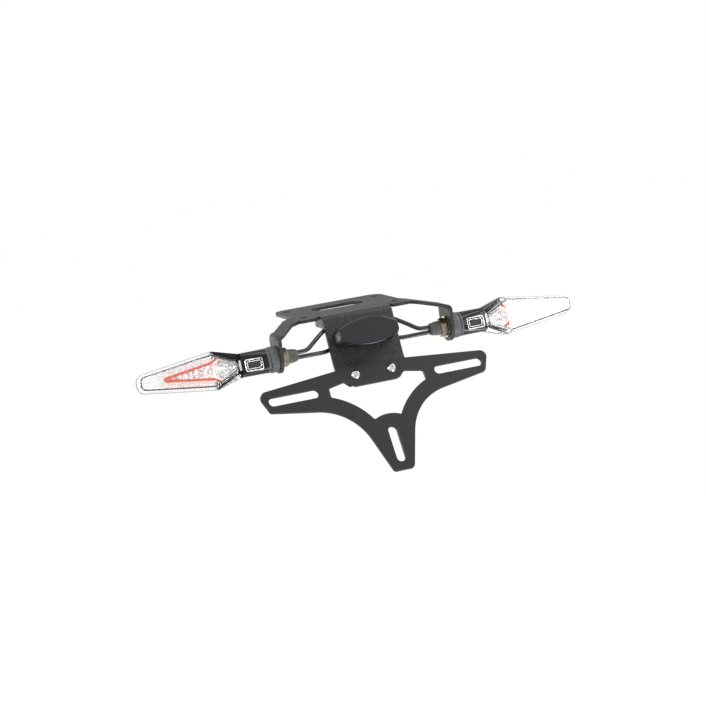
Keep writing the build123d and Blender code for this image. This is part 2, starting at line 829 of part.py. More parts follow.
with BuildPart() as plug_cradle:
    with BuildSketch(cradle_plane):
        Rectangle(plug_room + 2 * cradle_wall, cradle_pad + cradle_grip, align=(Align.CENTER, Align.MIN))
        with Locations((0, cradle_pad)):
            Rectangle(plug_room, cradle_grip, align=(Align.CENTER, Align.MIN), mode=Mode.SUBTRACT)
    extrude(amount=cradle_length)

# Both sides of the indicators and their wiring

turned_pieces = {
    "indicator_body": indicator_body.part,
    "indicator_rear_lens": indicator_rear_lens.part,
    "indicator_lens": indicator_lens.part,
    "indicator_reflector": indicator_reflector.part,
    "indicator_board": indicator_board.part,
    "indicator_leds": indicator_leds.part,
    "indicator_guide": indicator_guide.part,
    "indicator_trim": indicator_trim.part,
    "indicator_badge": indicator_badge.part,
}
sided_pieces = {
    "indicator_collar": indicator_collar.part,
    "indicator_stud": indicator_stud.part,
    "indicator_washer": indicator_washer.part,
    "indicator_nut": indicator_nut.part,
    "indicator_boot": indicator_boot.part,
    "turn_lead": turn_lead,
    "tail_lead": tail_lead,
    "lead_plug": lead_plug.part,
    "plug_cradle": plug_cradle.part,
}
for piece_name, upright_piece in turned_pieces.items():
    sided_pieces[piece_name] = upright_piece.rotate(stud_line, -indicator_tilt)

for piece_name, right_piece in sided_pieces.items():
    for side in ("left", "right"):
        with BuildPart() as sided_piece:
            add(right_piece)
            if side == "left":
                mirror(about=Plane.YZ, mode=Mode.REPLACE)
        save(sided_piece.part, f"{piece_name}_{side}")
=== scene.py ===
# %% [markdown]
# # Tail tidy
#
# This lesson dresses a motorbike's tail tidy: a folded steel bracket that bolts under the tail and
# carries a number-plate carrier, a plate light and two clear LED indicators. The solids come from a CAD
# model. Blender adds the finishes and the fine optical parts that are easier to write as surfaces.
#
# Everything is in metres in the CAD frame: +X is the rider's right, +Y is forward and +Z is up.

import bpy
import numpy as np
from mathutils import Matrix, Vector


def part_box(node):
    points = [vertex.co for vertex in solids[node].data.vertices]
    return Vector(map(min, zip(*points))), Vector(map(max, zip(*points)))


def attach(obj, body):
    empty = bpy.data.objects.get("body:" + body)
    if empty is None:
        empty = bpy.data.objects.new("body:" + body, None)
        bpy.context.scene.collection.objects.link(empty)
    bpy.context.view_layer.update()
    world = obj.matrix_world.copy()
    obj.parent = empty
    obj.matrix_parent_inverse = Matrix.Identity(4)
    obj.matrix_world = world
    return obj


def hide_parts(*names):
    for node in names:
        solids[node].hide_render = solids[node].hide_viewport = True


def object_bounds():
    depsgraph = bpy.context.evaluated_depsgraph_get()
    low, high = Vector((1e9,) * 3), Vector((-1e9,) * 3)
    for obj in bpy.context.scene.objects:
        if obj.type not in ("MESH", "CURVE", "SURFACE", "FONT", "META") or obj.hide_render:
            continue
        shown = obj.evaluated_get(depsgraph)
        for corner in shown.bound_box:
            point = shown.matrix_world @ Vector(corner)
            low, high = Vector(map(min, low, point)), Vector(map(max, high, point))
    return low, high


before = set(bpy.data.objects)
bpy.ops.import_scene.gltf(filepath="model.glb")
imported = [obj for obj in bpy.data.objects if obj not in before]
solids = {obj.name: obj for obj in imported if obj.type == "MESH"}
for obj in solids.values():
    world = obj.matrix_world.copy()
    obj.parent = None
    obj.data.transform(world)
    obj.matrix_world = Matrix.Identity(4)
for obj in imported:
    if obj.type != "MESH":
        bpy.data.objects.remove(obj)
cad_low, cad_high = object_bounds()
MM = 0.001
print("solids:", len(solids), "box in mm:", [round(v / MM, 1) for v in cad_high - cad_low])

# %% [markdown]
# ## Camera
#
# The view is from behind the bike, to its left and a little above, through a long lens. The picture is
# also turned: the camera leaned to one side, so the object seems to rise to the right. A camera looks
# along its own -Z axis, so its matrix is built from three directions: right, up and back.

# %% Camera
VIEW_AZIMUTH = -19.34
VIEW_ELEVATION = 9.66
VIEW_LEAN = 7.52
VIEW_PLACE = Vector((-0.51769, -1.49139, 0.23091))
FOCAL_PIXELS = 2000.0
IMAGE_WIDTH = 706

turn, lift, lean = np.radians([VIEW_AZIMUTH, VIEW_ELEVATION, VIEW_LEAN])
back = Vector((np.sin(turn) * np.cos(lift), -np.cos(turn) * np.cos(lift), np.sin(lift)))
level = Vector((np.cos(turn), np.sin(turn), 0))
upright = back.cross(level)
right = level * np.cos(lean) - upright * np.sin(lean)
up = back.cross(right)

lens = bpy.data.cameras.new("view")
lens.sensor_width = 36.0
lens.lens = FOCAL_PIXELS * lens.sensor_width / IMAGE_WIDTH
camera = bpy.data.objects.new("view", lens)
camera.matrix_world = Matrix.Translation(VIEW_PLACE) @ Matrix((right, up, back)).transposed().to_4x4()
bpy.context.scene.collection.objects.link(camera)
bpy.context.scene.camera = camera
print("focal length in mm:", round(lens.lens, 1))

# %% [markdown]
# ## Colours and nodes
#
# Colours are written as sRGB hex, as a paint chart gives them, and one function makes them linear. A
# second function adds a shader node: it sets the node's properties and fills or links its inputs. A third
# makes a finish whose colour, gloss and fine relief all follow one noise, because on moulded, coated and
# plated parts the same grain shows in all three.

# %% Colour and finish helpers


def linear(hex_colour):
    """sRGB hex to linear RGBA: a channel up to 0.04045 is divided by 12.92, others follow the 2.4 power."""
    channels = np.array([int(hex_colour[i : i + 2], 16) / 255 for i in (1, 3, 5)])
    straight = np.where(channels <= 0.04045, channels / 12.92, ((channels + 0.055) / 1.055) ** 2.4)
    return (*straight.tolist(), 1.0)


def add_node(tree, kind, inputs=None, **settings):
    """Add one node, set its properties, then give each named input a value or a link."""
    made = tree.nodes.new("ShaderNode" + kind)
    for name, value in settings.items():
        setattr(made, name, value)
    for name, value in (inputs or {}).items():
        if isinstance(value, bpy.types.NodeSocket):
            tree.links.new(value, made.inputs[name])
        else:
            made.inputs[name].default_value = value
    return made


def per_metre(grain_mm):
    """How many grains of this size fit in a metre, which is a pattern's scale on Object coordinates."""
    return 1 / (grain_mm * MM)


def grained_finish(name, grain_mm, dark, pale, smooth, dull, relief_mm=0.0, **values):
    """A material whose colour, roughness and relief follow one noise; even values go on its own sockets."""
    material = bpy.data.materials.new(name)
    material.use_nodes = True
    tree = material.node_tree
    shader = tree.nodes["Principled BSDF"]
    place = add_node(tree, "TexCoord")
    grain = add_node(
        tree, "TexNoise", {"Vector": place.outputs["Object"], "Scale": per_metre(grain_mm), "Detail": 3.0}
    )
    # a noise keeps mostly between 0.3 and 0.7, so that range is spread from 0 to 1
    level = add_node(tree, "MapRange", {0: grain.outputs[0], 1: 0.3, 2: 0.7, 3: 0.0, 4: 1.0})
    colour = add_node(tree, "Mix", {0: level.outputs[0], 6: linear(dark), 7: linear(pale)}, data_type="RGBA")
    rough = add_node(tree, "MapRange", {0: level.outputs[0], 1: 0.0, 2: 1.0, 3: smooth, 4: dull})
    tree.links.new(colour.outputs[2], shader.inputs["Base Color"])
    tree.links.new(rough.outputs[0], shader.inputs["Roughness"])
    if relief_mm:
        bump = add_node(
            tree, "Bump", {"Height": grain.outputs[0], "Strength": 1.0, "Distance": relief_mm * MM}
        )
        tree.links.new(bump.outputs[0], shader.inputs["Normal"])
    for socket, value in values.items():
        shader.inputs[socket.replace("_", " ")].default_value = value
    return material


def dress(material, *names):
    """Give a finish to CAD nodes; a name without a side stands for both sides."""
    for name in names:
        for node in [name] if name in solids else [name + "_left", name + "_right"]:
            solids[node].data.materials.clear()
            solids[node].data.materials.append(material)


# %% [markdown]
# ## Stage
#
# A plain pale floor lies well below the part, which hangs from its bolts. Floor and world are white where
# the camera, mirrors and clear plastic look at them. As a source of light the world is softer, so that
# the lamps model the shapes: soft ones to the right, to the left and above, and a small one that glares
# on the right-hand lens. Two from in front and one from below draw thin bright lines along rounded edges.

# %% Floor, world and lamps
FLOOR_DROP, FLOOR_REACH = 0.42, 8.0
FLOOR_SHINE, SHINE_SHARE = 1.06, 0.9
SOFT_WORLD, WHITE_WORLD = 0.42, 1.0
WHITE = (1, 1, 1, 1)


def sees_white(tree):
    """One for camera, glossy and transmission rays, which show the backdrop, and zero for other rays."""
    rays = add_node(tree, "LightPath").outputs
    mirrored = {0: rays["Is Glossy Ray"], 1: rays["Is Transmission Ray"]}
    mirrored = add_node(tree, "Math", mirrored, operation="MAXIMUM").outputs[0]
    return add_node(tree, "Math", {0: rays["Is Camera Ray"], 1: mirrored}, operation="MAXIMUM").outputs[0]


floor_z = cad_low.z - FLOOR_DROP
floor_mesh = bpy.data.meshes.new("floor")
corners = [(x * FLOOR_REACH, y * FLOOR_REACH, floor_z) for x, y in ((-1, -1), (1, -1), (1, 1), (-1, 1))]
floor_mesh.from_pydata(corners, [], [(0, 1, 2, 3)])
floor = bpy.data.objects.new("floor", floor_mesh)
bpy.context.scene.collection.objects.link(floor)
# matt white card: nearly all of what the eye sees is even white, and the rest takes the soft shadow
floor_card = grained_finish("matt_white_card", 40.0, "#F2F2F2", "#F6F6F6", 0.85, 0.95)
tree = floor_card.node_tree
share = add_node(tree, "Math", {0: sees_white(tree), 1: SHINE_SHARE}, operation="MULTIPLY")
glow = add_node(tree, "Emission", {"Color": WHITE, "Strength": FLOOR_SHINE})
card = tree.nodes["Principled BSDF"]
both = add_node(tree, "MixShader", {0: share.outputs[0], 1: card.outputs[0], 2: glow.outputs[0]})
tree.links.new(both.outputs[0], tree.nodes["Material Output"].inputs["Surface"])
floor_mesh.materials.append(floor_card)

world = bpy.data.worlds.new("studio")
world.use_nodes = True
bpy.context.scene.world = world
tree = world.node_tree
soft = tree.nodes["Background"]
soft.inputs["Color"].default_value = WHITE
soft.inputs["Strength"].default_value = SOFT_WORLD
white = add_node(tree, "Background", {"Color": WHITE, "Strength": WHITE_WORLD})
both = add_node(tree, "MixShader", {0: sees_white(tree), 1: soft.outputs[0], 2: white.outputs[0]})
tree.links.new(both.outputs[0], tree.nodes["World Output"].inputs["Surface"])

# each lamp has a place and a size in metres and a power in watts
aim = Vector((0, -0.05, -0.04))
lamps = {
    "right_box": ((0.75, -0.4, 0.75), 0.5, 7.0),
    "lens_glare": ((0.645, -0.672, 0.138), 0.16, 1.1),
    "left_strip": ((-1.4, -0.4, 0.35), 0.6, 16.0),
    "left_rim": ((-0.5, 1.3, -0.2), 0.6, 4.0),
    "right_rim": ((1.25, 0.4, 0.03), 0.5, 6.0),
    "low_strip": ((0.17, -0.27, -0.42), 0.25, 2.6),
    "top_box": ((0.0, -0.3, 1.4), 1.0, 8.0),
}
for name, (place, size, power) in lamps.items():
    lamp = bpy.data.lights.new(name, "AREA")
    lamp.size = size
    lamp.energy = power
    stand = bpy.data.objects.new(name, lamp)
    stand.location = place
    stand.rotation_euler = (aim - Vector(place)).to_track_quat("-Z", "Y").to_euler()
    bpy.context.scene.collection.objects.link(stand)
print("lamps:", list(lamps))

# %% [markdown]
# ## Steel and its coats
#
# The bracket is mild steel under a fine-textured polyester powder coat. The powder sets in grains, so the
# black is broken into small lit bumps. Their lit tops are a painted highlight: pale specks in the colour,
# over a bump that raises the same grains. One noise could place them, but the bumps of a powder coat are
# round, so Voronoi cells give their shape and a noise makes some stand higher, and paler, than others.
# The carrier has a smoother satin coat in charcoal, with the faint waves that sprayed powder leaves.

# %% Powder coats
POWDER_GRAIN, POWDER_PATCH, POWDER_RELIEF = 1.1, 1.6, 0.22

# textured black polyester powder coat: dark and dry, with a sparkle of small round grains;
# real grains are about 0.4 mm, drawn at 1.1 mm because finer ones don't show from this distance
textured_coat = grained_finish(
    "textured_black_powder_coat", 3.0, "#151516", "#1E1E1F", 0.52, 0.64, Specular_IOR_Level=0.35
)
tree = textured_coat.node_tree
shader = tree.nodes["Principled BSDF"]
place = add_node(tree, "TexCoord")
cells = add_node(tree, "TexVoronoi", {"Vector": place.outputs["Object"], "Scale": per_metre(POWDER_GRAIN)})
pick = add_node(
    tree, "TexNoise", {"Vector": place.outputs["Object"], "Scale": per_metre(POWDER_PATCH), "Detail": 1.0}
)
dome = add_node(tree, "MapRange", {0: cells.outputs["Distance"], 1: 0.0, 2: 0.55, 3: 1.0, 4: 0.0})
lift = add_node(tree, "MapRange", {0: pick.outputs[0], 1: 0.45, 2: 0.65, 3: 0.15, 4: 1.0})
grain = add_node(tree, "Math", {0: dome.outputs[0], 1: lift.outputs[0]}, operation="MULTIPLY")
base = shader.inputs["Base Color"].links[0].from_socket
# painted highlight: the tops of the grains are mixed towards pale grey, where light would catch them
grain_painted_highlight = add_node(tree, "Mix", {0: grain.outputs[0], 6: base, 7: linear("#606063")}, data_type="RGBA")
bump = add_node(
    tree, "Bump", {"Height": grain.outputs[0], "Strength": 1.0, "Distance": POWDER_RELIEF * MM}
)
tree.links.new(grain_painted_highlight.outputs[2], shader.inputs["Base Color"])
tree.links.new(bump.outputs[0], shader.inputs["Normal"])
dress(textured_coat, "main_bracket")

# satin charcoal powder coat: an even dark grey with a low, slightly wavy sheen
satin_coat = grained_finish(
    "satin_charcoal_powder_coat", 1.8, "#17171A", "#1E1E20", 0.46, 0.56, 0.02, Specular_IOR_Level=0.25
)
dress(satin_coat, "plate_carrier")

# %% [markdown]
# Laser-cut sheet never has a knife edge: deburring and the coat round it off, and that line catches the
# light. A Weld modifier joins the CAD node's loose triangles, and a Bevel modifier then rounds every edge
# that turns by more than 40 degrees. The node's own mesh stays as it is.

# %% Rounded sheet edges
EDGE_ROUND, EDGE_TURN, JOIN_REACH = 0.4 * MM, np.radians(40), 0.005 * MM

for name in ("main_bracket", "plate_carrier"):
    join = solids[name].modifiers.new("join", "WELD")
    join.merge_threshold = JOIN_REACH
    edge = solids[name].modifiers.new("edge", "BEVEL")
    edge.width = EDGE_ROUND
    edge.segments = 2
    edge.limit_method = "ANGLE"
    edge.angle_limit = EDGE_TURN
    edge.harden_normals = True
print("sheet edges rounded by", EDGE_ROUND / MM, "mm")

# %% [markdown]
# ## Metals
#
# The carrier bolts are bright stainless steel. The indicator studs, nuts and washers are zinc plated and
# passivated, which leaves a straw colour in patches. The trim on the stalks is plated plastic, which is
# smoother than any turned metal. So are the bezels and cheeks of the heads. Their grooves are painted
# black, a painted reflection of the black yoke that they would mirror, and their meshes carry the depth
# of the grooves as an attribute.

# %% Bare and plated metals
# stainless steel, turned and tumbled: bright, and so smooth that its flanks mirror the dark plate below
stainless = grained_finish("stainless_steel", 0.8, "#BDBDBB", "#CBCAC8", 0.12, 0.2, Metallic=1.0)
dress(stainless, "carrier_bolts", "carrier_washers", "carrier_nuts", "light_screws")
# zinc with a yellow passivate: duller, straw in some places and grey in others
zinc = grained_finish("passivated_zinc", 3.5, "#6F6850", "#8A8574", 0.3, 0.42, Metallic=1.0)
dress(zinc, "indicator_stud", "indicator_washer", "indicator_nut")
# bright chromium on plastic: a clear mirror with a trace of haze
plated_trim = grained_finish("bright_chromium_plate", 2.0, "#D4D6D9", "#E2E3E5", 0.05, 0.12, Metallic=1.0)
dress(plated_trim, "indicator_trim")
# chromium on ribbed plastic: bright lines, with a painted reflection of the black yoke in the grooves
# between them
ribbed_plate = grained_finish("ribbed_chromium_plate", 2.0, "#D2D3D5", "#E0E1E2", 0.2, 0.3, Metallic=1.0)
tree = ribbed_plate.node_tree
shader = tree.nodes["Principled BSDF"]
unplated_and_painted_groove_reflection = add_node(tree, "Attribute", attribute_name="unplated_and_painted_groove_reflection")
plate = shader.inputs["Base Color"].links[0].from_socket
# painted reflection: the grooves go black where they would mirror the black yoke; a bezel's unplated wall
# side is black too
lined = add_node(tree, "Mix", {0: unplated_and_painted_groove_reflection.outputs["Fac"], 6: plate, 7: linear("#1A1A1C")}, data_type="RGBA")
tree.links.new(lined.outputs[2], shader.inputs["Base Color"])

# %% [markdown]
# ## Plastics and rubber
#
# The plate light's housing is ABS from a spark-eroded mould, which leaves a fine satin grain. The
# indicator stalks come from a polished mould. Collars, boots, gasket and grommet are moulded rubber,
# which has a dry bloom, and the leads have a smooth PVC jacket.

# %% Moulded plastics and rubber
RUBBED_ROUGHNESS = 0.08

# ABS, spark-eroded mould: blue-black satin with a fine grain, rubbed smooth at the rim
satin_abs = grained_finish(
    "satin_black_abs", 0.7, "#0E0F12", "#14151A", 0.34, 0.44, 0.02, Specular_IOR_Level=0.35
)
tree = satin_abs.node_tree
shader = tree.nodes["Principled BSDF"]
rubbed = add_node(tree, "Attribute", attribute_name="rim_polish")
satin = shader.inputs["Roughness"].links[0].from_socket
rough = add_node(tree, "Mix", {0: rubbed.outputs["Fac"], 2: satin, 3: RUBBED_ROUGHNESS})
tree.links.new(rough.outputs[0], shader.inputs["Roughness"])
dress(satin_abs, "light_housing")
# ABS, polished mould: deep black with sharp reflections
gloss_abs = grained_finish(
    "gloss_black_abs", 8.0, "#08080A", "#0E0E10", 0.14, 0.24, Specular_IOR_Level=0.3
)
dress(gloss_abs, "indicator_body")
# ABS, matt mould: the bare badge inside the trim
matt_abs = grained_finish("matt_black_abs", 0.6, "#19191B", "#232325", 0.45, 0.6, 0.02)
dress(matt_abs, "indicator_badge")
# moulded EPDM rubber: dark grey and dry
black_rubber = grained_finish("black_epdm_rubber", 2.5, "#464648", "#525254", 0.48, 0.62, 0.02)
dress(black_rubber, "indicator_collar", "light_gasket", "wiring_grommet")
# moulded silicone rubber: mid grey, soft
grey_rubber = grained_finish("grey_silicone_rubber", 2.5, "#40403E", "#4A4A48", 0.5, 0.64, 0.02)
dress(grey_rubber, "indicator_boot")
# extruded PVC: black with a long soft highlight
cable_jacket = grained_finish("black_pvc_jacket", 6.0, "#0E0E0F", "#161617", 0.22, 0.34)
dress(cable_jacket, "turn_lead", "tail_lead")
# moulded nylon: dark grey, slightly waxy
nylon = grained_finish("grey_moulded_nylon", 3.0, "#202021", "#292929", 0.5, 0.62, 0.01)
dress(nylon, "lead_plug", "plug_cradle")

# %% [markdown]
# ## Clear plastic and what it covers
#
# The lenses are water-clear polycarbonate. Clear solids throw a dark shadow in a path tracer, because few
# light paths find a lamp through them, so shadow rays see a plain transparent shader instead. The
# reflector is plastic with a thin film of aluminium, and it mirrors the red light guide that stands on
# it. That red is a painted reflection in the film's colour, and it follows the guide, so the reflector's
# mesh carries it as an attribute.

# %% Lenses, reflector, guide and boards
# size of the dots in the painted reflection of the red guide
RED_REFLECTION_DOT = 1.5

# polycarbonate, polished mould: clear, with darker lines where the light runs along a wall
clear_lens = grained_finish(
    "clear_polycarbonate", 12.0, "#F6F8F8", "#FCFDFD", 0.0, 0.03, IOR=1.58, Transmission_Weight=1.0
)
tree = clear_lens.node_tree
path = add_node(tree, "LightPath")
through = add_node(tree, "BsdfTransparent", {"Color": linear("#F4F6F6")})
solid_lens = tree.nodes["Principled BSDF"].outputs[0]
both = add_node(tree, "MixShader", {0: path.outputs["Is Shadow Ray"], 1: solid_lens, 2: through.outputs[0]})
tree.links.new(both.outputs[0], tree.nodes["Material Output"].inputs["Surface"])
dress(clear_lens, "indicator_lens", "indicator_rear_lens", "light_lens")

# grey, half dull polycarbonate: a painted dark line round each head, which stands in for the dark edge
# that refraction draws in the clear wall
painted_outline_bead = grained_finish("painted_outline_polycarbonate", 3.0, "#363839", "#4A4C4F", 0.3, 0.4)

# aluminium film on plastic: a bright mirror, with red in dots beside the guide as a painted reflection of
# the guide; its prism faces differ in tone, a painted reflection of another part of the room on each
metallised = grained_finish("aluminium_film", 2.0, "#F6F6F7", "#FEFEFE", 0.22, 0.34, Metallic=1.0)
tree = metallised.node_tree
shader = tree.nodes["Principled BSDF"]
place = add_node(tree, "TexCoord")
painted_red = add_node(tree, "Attribute", attribute_name="painted_guide_reflection")
dots = add_node(
    tree, "TexNoise", {"Vector": place.outputs["Object"], "Scale": per_metre(RED_REFLECTION_DOT), "Detail": 1.0}
)
spot = {0: dots.outputs[0], 1: 0.36, 2: 0.6, 3: 0.3, 4: 0.85}
spot = add_node(tree, "MapRange", spot, interpolation_type="SMOOTHSTEP")
amount = add_node(tree, "Math", {0: painted_red.outputs["Fac"], 1: spot.outputs[0]}, operation="MULTIPLY")
film = shader.inputs["Base Color"].links[0].from_socket
# painted reflection: pink where the film would mirror the red guide, in dots
painted_reflections = add_node(tree, "Mix", {0: amount.outputs[0], 6: film, 7: linear("#F0B4AE")}, data_type="RGBA")
facet = add_node(tree, "Attribute", attribute_name="facet_painted_reflection")
# painted reflection: some prism faces are mixed towards a grey lilac, as if they mirrored darker parts of
# the room
painted_reflections = add_node(
    tree, "Mix", {0: facet.outputs["Fac"], 6: painted_reflections.outputs[2], 7: linear("#A79CAA")}, data_type="RGBA"
)
tree.links.new(painted_reflections.outputs[2], shader.inputs["Base Color"])
dress(metallised, "indicator_reflector")

# tinted acrylic: a bright orange red with a soft gloss
red_acrylic = grained_finish("red_tinted_acrylic", 6.0, "#A9320F", "#B6401A", 0.16, 0.24, IOR=1.49)
dress(red_acrylic, "indicator_guide")
# lacquered glass-fibre board: white, so that it sends stray light forward
white_board = grained_finish("white_solder_lacquer", 3.0, "#D9DAD6", "#E8E9E6", 0.4, 0.5)
dress(white_board, "indicator_board", "light_board")
# LED in clear epoxy over phosphor: nearly white, with a trace of yellow
led_epoxy = grained_finish("led_phosphor_in_epoxy", 0.8, "#FAF8F0", "#FFFEFA", 0.12, 0.2)
dress(led_epoxy, "indicator_leds", "light_leds")

# %% [markdown]
# ## Surfaces from numbers
#
# The fine parts are surfaces: a function gives a point for each pair of numbers on a grid, and
# neighbouring points make the faces. Modelling them by hand would be slow to change, so these helpers
# turn whole arrays of points, in millimetres, into a piece. Each piece is closed, so the sum of the small
# pyramids under its faces is its volume. A negative sum means that the faces look inwards, and then their
# corners are listed backwards.

# %% Grid and piece helpers


def full_turn(steps):
    """Even angles round a circle, without the last one, which would be the first again."""
    return np.linspace(0, 2 * np.pi, steps, endpoint=False)


def turned_about_x(angle):
    """The three directions after a turn about X, one in each row."""
    cosine, sine = np.cos(angle), np.sin(angle)
    return np.array([(1, 0, 0), (0, cosine, -sine), (0, sine, cosine)])


def unit(vectors):
    """Vectors divided by their own lengths."""
    return vectors / np.linalg.norm(vectors, axis=-1, keepdims=True)


def looped(first, second, third, axes, place, close_rows=False):
    """A grid of points from three distances in millimetres, each along its own axis from a place, and quads
    between neighbours. Each row is a closed loop, and closed rows join the last loop to the first."""
    grid = np.stack(np.broadcast_arrays(first, second, third), -1)
    rows, columns, _ = grid.shape
    rings = rows if close_rows else rows - 1
    row, column = np.meshgrid(np.arange(rings), np.arange(columns), indexing="ij")
    next_row, next_column = (row + 1) % rows, (column + 1) % columns
    corners = [(row, column), (next_row, column), (next_row, next_column), (row, next_column)]
    faces = np.stack([r * columns + c for r, c in corners], -1).reshape(-1, 4)
    return grid.reshape(-1, 3) @ axes + place, faces


def there_and_back(front, back):
    """One loop from two lines: along the first, and then along the second the other way."""
    return np.concatenate([front, back[..., ::-1]], -1)


def close_ends(*loops):
    """Draw the first and the last loop together to their mean, so that a strip has no open end."""
    for loop in loops:
        loop[[0, -1]] = loop[[0, -1]].mean(axis=1, keepdims=True)


def join_grids(grids):
    """Points and faces of several grids as one list, with face numbers moved up by the points before."""
    starts = np.cumsum([0] + [len(points) for points, _ in grids[:-1]])
    points = np.concatenate([points for points, _ in grids])
    return points, np.concatenate([faces + start for (_, faces), start in zip(grids, starts)])


def add_piece(name, shape, finish, stands_for=(), marks=None, sharp=None):
    """A smooth mesh at the origin from points in millimetres, riding on the body, with marks per point.
    Edges stay sharp where two faces turn by more than the given angle in degrees."""
    points, faces = shape
    first, second, third, fourth = (points[faces[:, corner]] for corner in range(4))
    volume = (first * (np.cross(second, third) + np.cross(third, fourth))).sum()
    if volume < 0:
        faces = faces[:, ::-1]
    mesh = bpy.data.meshes.new(name)
    mesh.from_pydata((points * MM).tolist(), [], faces.tolist())
    for mark, values in (marks or {}).items():
        mesh.attributes.new(mark, "FLOAT", "POINT").data.foreach_set("value", values.astype(np.float32))
    mesh.polygons.foreach_set("use_smooth", np.ones(len(mesh.polygons), dtype=bool))
    if sharp:
        mesh.set_sharp_from_angle(angle=np.radians(sharp))
    mesh.materials.append(finish)
    piece = bpy.data.objects.new(name, mesh)
    bpy.context.scene.collection.objects.link(piece)
    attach(piece, "root")
    if stands_for:
        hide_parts(*stands_for)


def add_pair(name, shape, finish, stands_for=(), marks=None, sharp=None):
    """The right-hand piece and its mirror image in X; the nodes that they stand for get the side's name."""
    points, faces = shape
    for side, flip in (("right", 1), ("left", -1)):
        nodes = [f"{node}_{side}" for node in stands_for]
        mirrored = (points * (flip, 1, 1), faces)
        add_piece(f"{name}_{side}", mirrored, finish, nodes, marks, sharp)
    print(name, "faces on each side:", len(faces))


# %% [markdown]
# ## Indicator head directions
#
# The head sweeps forward a little towards its tip, and the whole indicator is turned on its stud so that
# the lens looks slightly up. Every part inside it is written in the head's own directions: out along the
# head, up across it, and back from the plane where the two shells meet.

# %% Head directions
STUD_PLACE = np.array([0, -45.0, -24.0])
HEAD_X = 101.6
HEAD_SWEEP, HEAD_TILT = np.radians([5.0, 12.0])
PARTING_FORWARD = 2.0

TURN_UP = turned_about_x(HEAD_TILT)
cosine, sine = np.cos(HEAD_SWEEP), np.sin(HEAD_SWEEP)
HEAD_LEVEL = np.array([(cosine, sine, 0), (0, 0, 1), (sine, -cosine, 0)])
HEAD_AXES = HEAD_LEVEL @ TURN_UP
PARTING = STUD_PLACE + (HEAD_X, 0, 0) - PARTING_FORWARD * HEAD_AXES[2]


def head_shape(out, up, back, close_rows=False):
    """Out, up and back in millimetres, each along its own direction of the head, from the parting point."""
    return looped(out, up, back, HEAD_AXES, PARTING, close_rows)


print("head looks along", HEAD_AXES[2].round(3))

# %% [markdown]
# ## Reflector
#
# The reflector is one metallised moulding. Outside the red guide it is covered with small pillows, each a
# shallow dome that spreads light. Inside the guide are larger prisms, and every LED sits in a dished cup.
# It is a height over a flat plan, so it is written as one: the plan's half width is a function of the
# distance out, and the height is a function of both. The back and the rim close it into a solid.

# %% Plan of the head
HEAD_LENGTH, PEAK_OUT = 81.0, 21.5
ROOT_HALF, PEAK_HALF, TIP_HALF = 5.0, 15.0, 6.9
ROOT_RADIUS, TIP_RADIUS = 3.9, 6.7
LENS_DRAFT = np.tan(np.radians(16.5))
PEAK_EASE = 1.6
ROOT_RISE = (PEAK_HALF - ROOT_HALF) / PEAK_OUT
TIP_FALL = (PEAK_HALF - TIP_HALF) / (HEAD_LENGTH - PEAK_OUT)


def root_side(out, inset):
    """The straight side from the root to the peak, drawn in by an inset measured square to it."""
    return ROOT_HALF + ROOT_RISE * out - inset * np.hypot(1, ROOT_RISE)


def head_half(out, inset):
    """Half width of the plan: the lower of the two straight sides, with the peak between them eased by a
    soft minimum, less what the round corners at the root and the tip take off."""
    tip_side = PEAK_HALF - TIP_FALL * (out - PEAK_OUT) - inset * np.hypot(1, TIP_FALL)
    sides = np.exp(-PEAK_EASE * root_side(out, inset)) + np.exp(-PEAK_EASE * tip_side)
    half = -np.log(sides) / PEAK_EASE
    for radius, past in (
        (ROOT_RADIUS - inset, ROOT_RADIUS - out),
        (TIP_RADIUS - inset, out - HEAD_LENGTH + TIP_RADIUS),
    ):
        half = half - radius + np.sqrt(np.clip(radius**2 - np.clip(past, 0, radius) ** 2, 0, None))
    return half


# %% Relief of the reflector
REFLECTOR_RIM, REFLECTOR_DEPTH, RIM_HEIGHT = 1.7, 3.0, 1.6
GUIDE_TIP, GUIDE_HEEL, GUIDE_HEEL_HALF = 65.8, 22.0, 6.2
LED_PLACES = ((8.0, 0.0), (15.0, 4.4), (15.0, -4.4), (23.5, 0.0), (30.5, 0.0))
CUP_FLOOR, CUP_RIM, CUP_LEAST = 1.3, 3.1, 0.05
PILLOW, PILLOW_LIFT = 2.3, 0.3
PRISM, PRISM_FOLD, PRISM_RIDGE = 4.4, 0.9, 0.7
GUIDE_BED, GUIDE_BED_EASE = 1.0, 1.5
GLOW_OUTSIDE, GLOW_OUTSIDE_REACH, PILLOW_SHADE = 2.6, 4.2, 0.6
GLOW_WITHIN, GLOW_WITHIN_REACH, GLOW_WITHIN_SHARE = 2.0, 2.5, 0.85
GLOW_END, GLOW_FADE = 4.0, 10.0
FACET_SHARE, SCATTER = 0.8, (12.99, 78.23, 43758.5)


def wave(position, pitch):
    """A triangle wave: 1 at every whole pitch and 0 halfway between."""
    return np.abs((position / pitch) % 1 - 0.5) * 2


def pillow_domes(out, up):
    """One at the top of each pillow and zero between them, with every second row moved by half a pillow."""
    stagger = 0.5 * PILLOW * (np.floor(out / PILLOW) % 2)
    return (1 - wave(out, PILLOW) ** 2) * (1 - wave(up + stagger, PILLOW) ** 2)


def past_guide(out, up):
    """How far a point lies outside the guide's V: its distance from the middle less the V's half width."""
    arm = GUIDE_HEEL_HALF * (GUIDE_TIP - out) / (GUIDE_TIP - GUIDE_HEEL)
    toe = GUIDE_HEEL_HALF + ROOT_RISE * (GUIDE_HEEL - out)
    return np.abs(up) - np.clip(np.where(out < GUIDE_HEEL, toe, arm), 0, None)


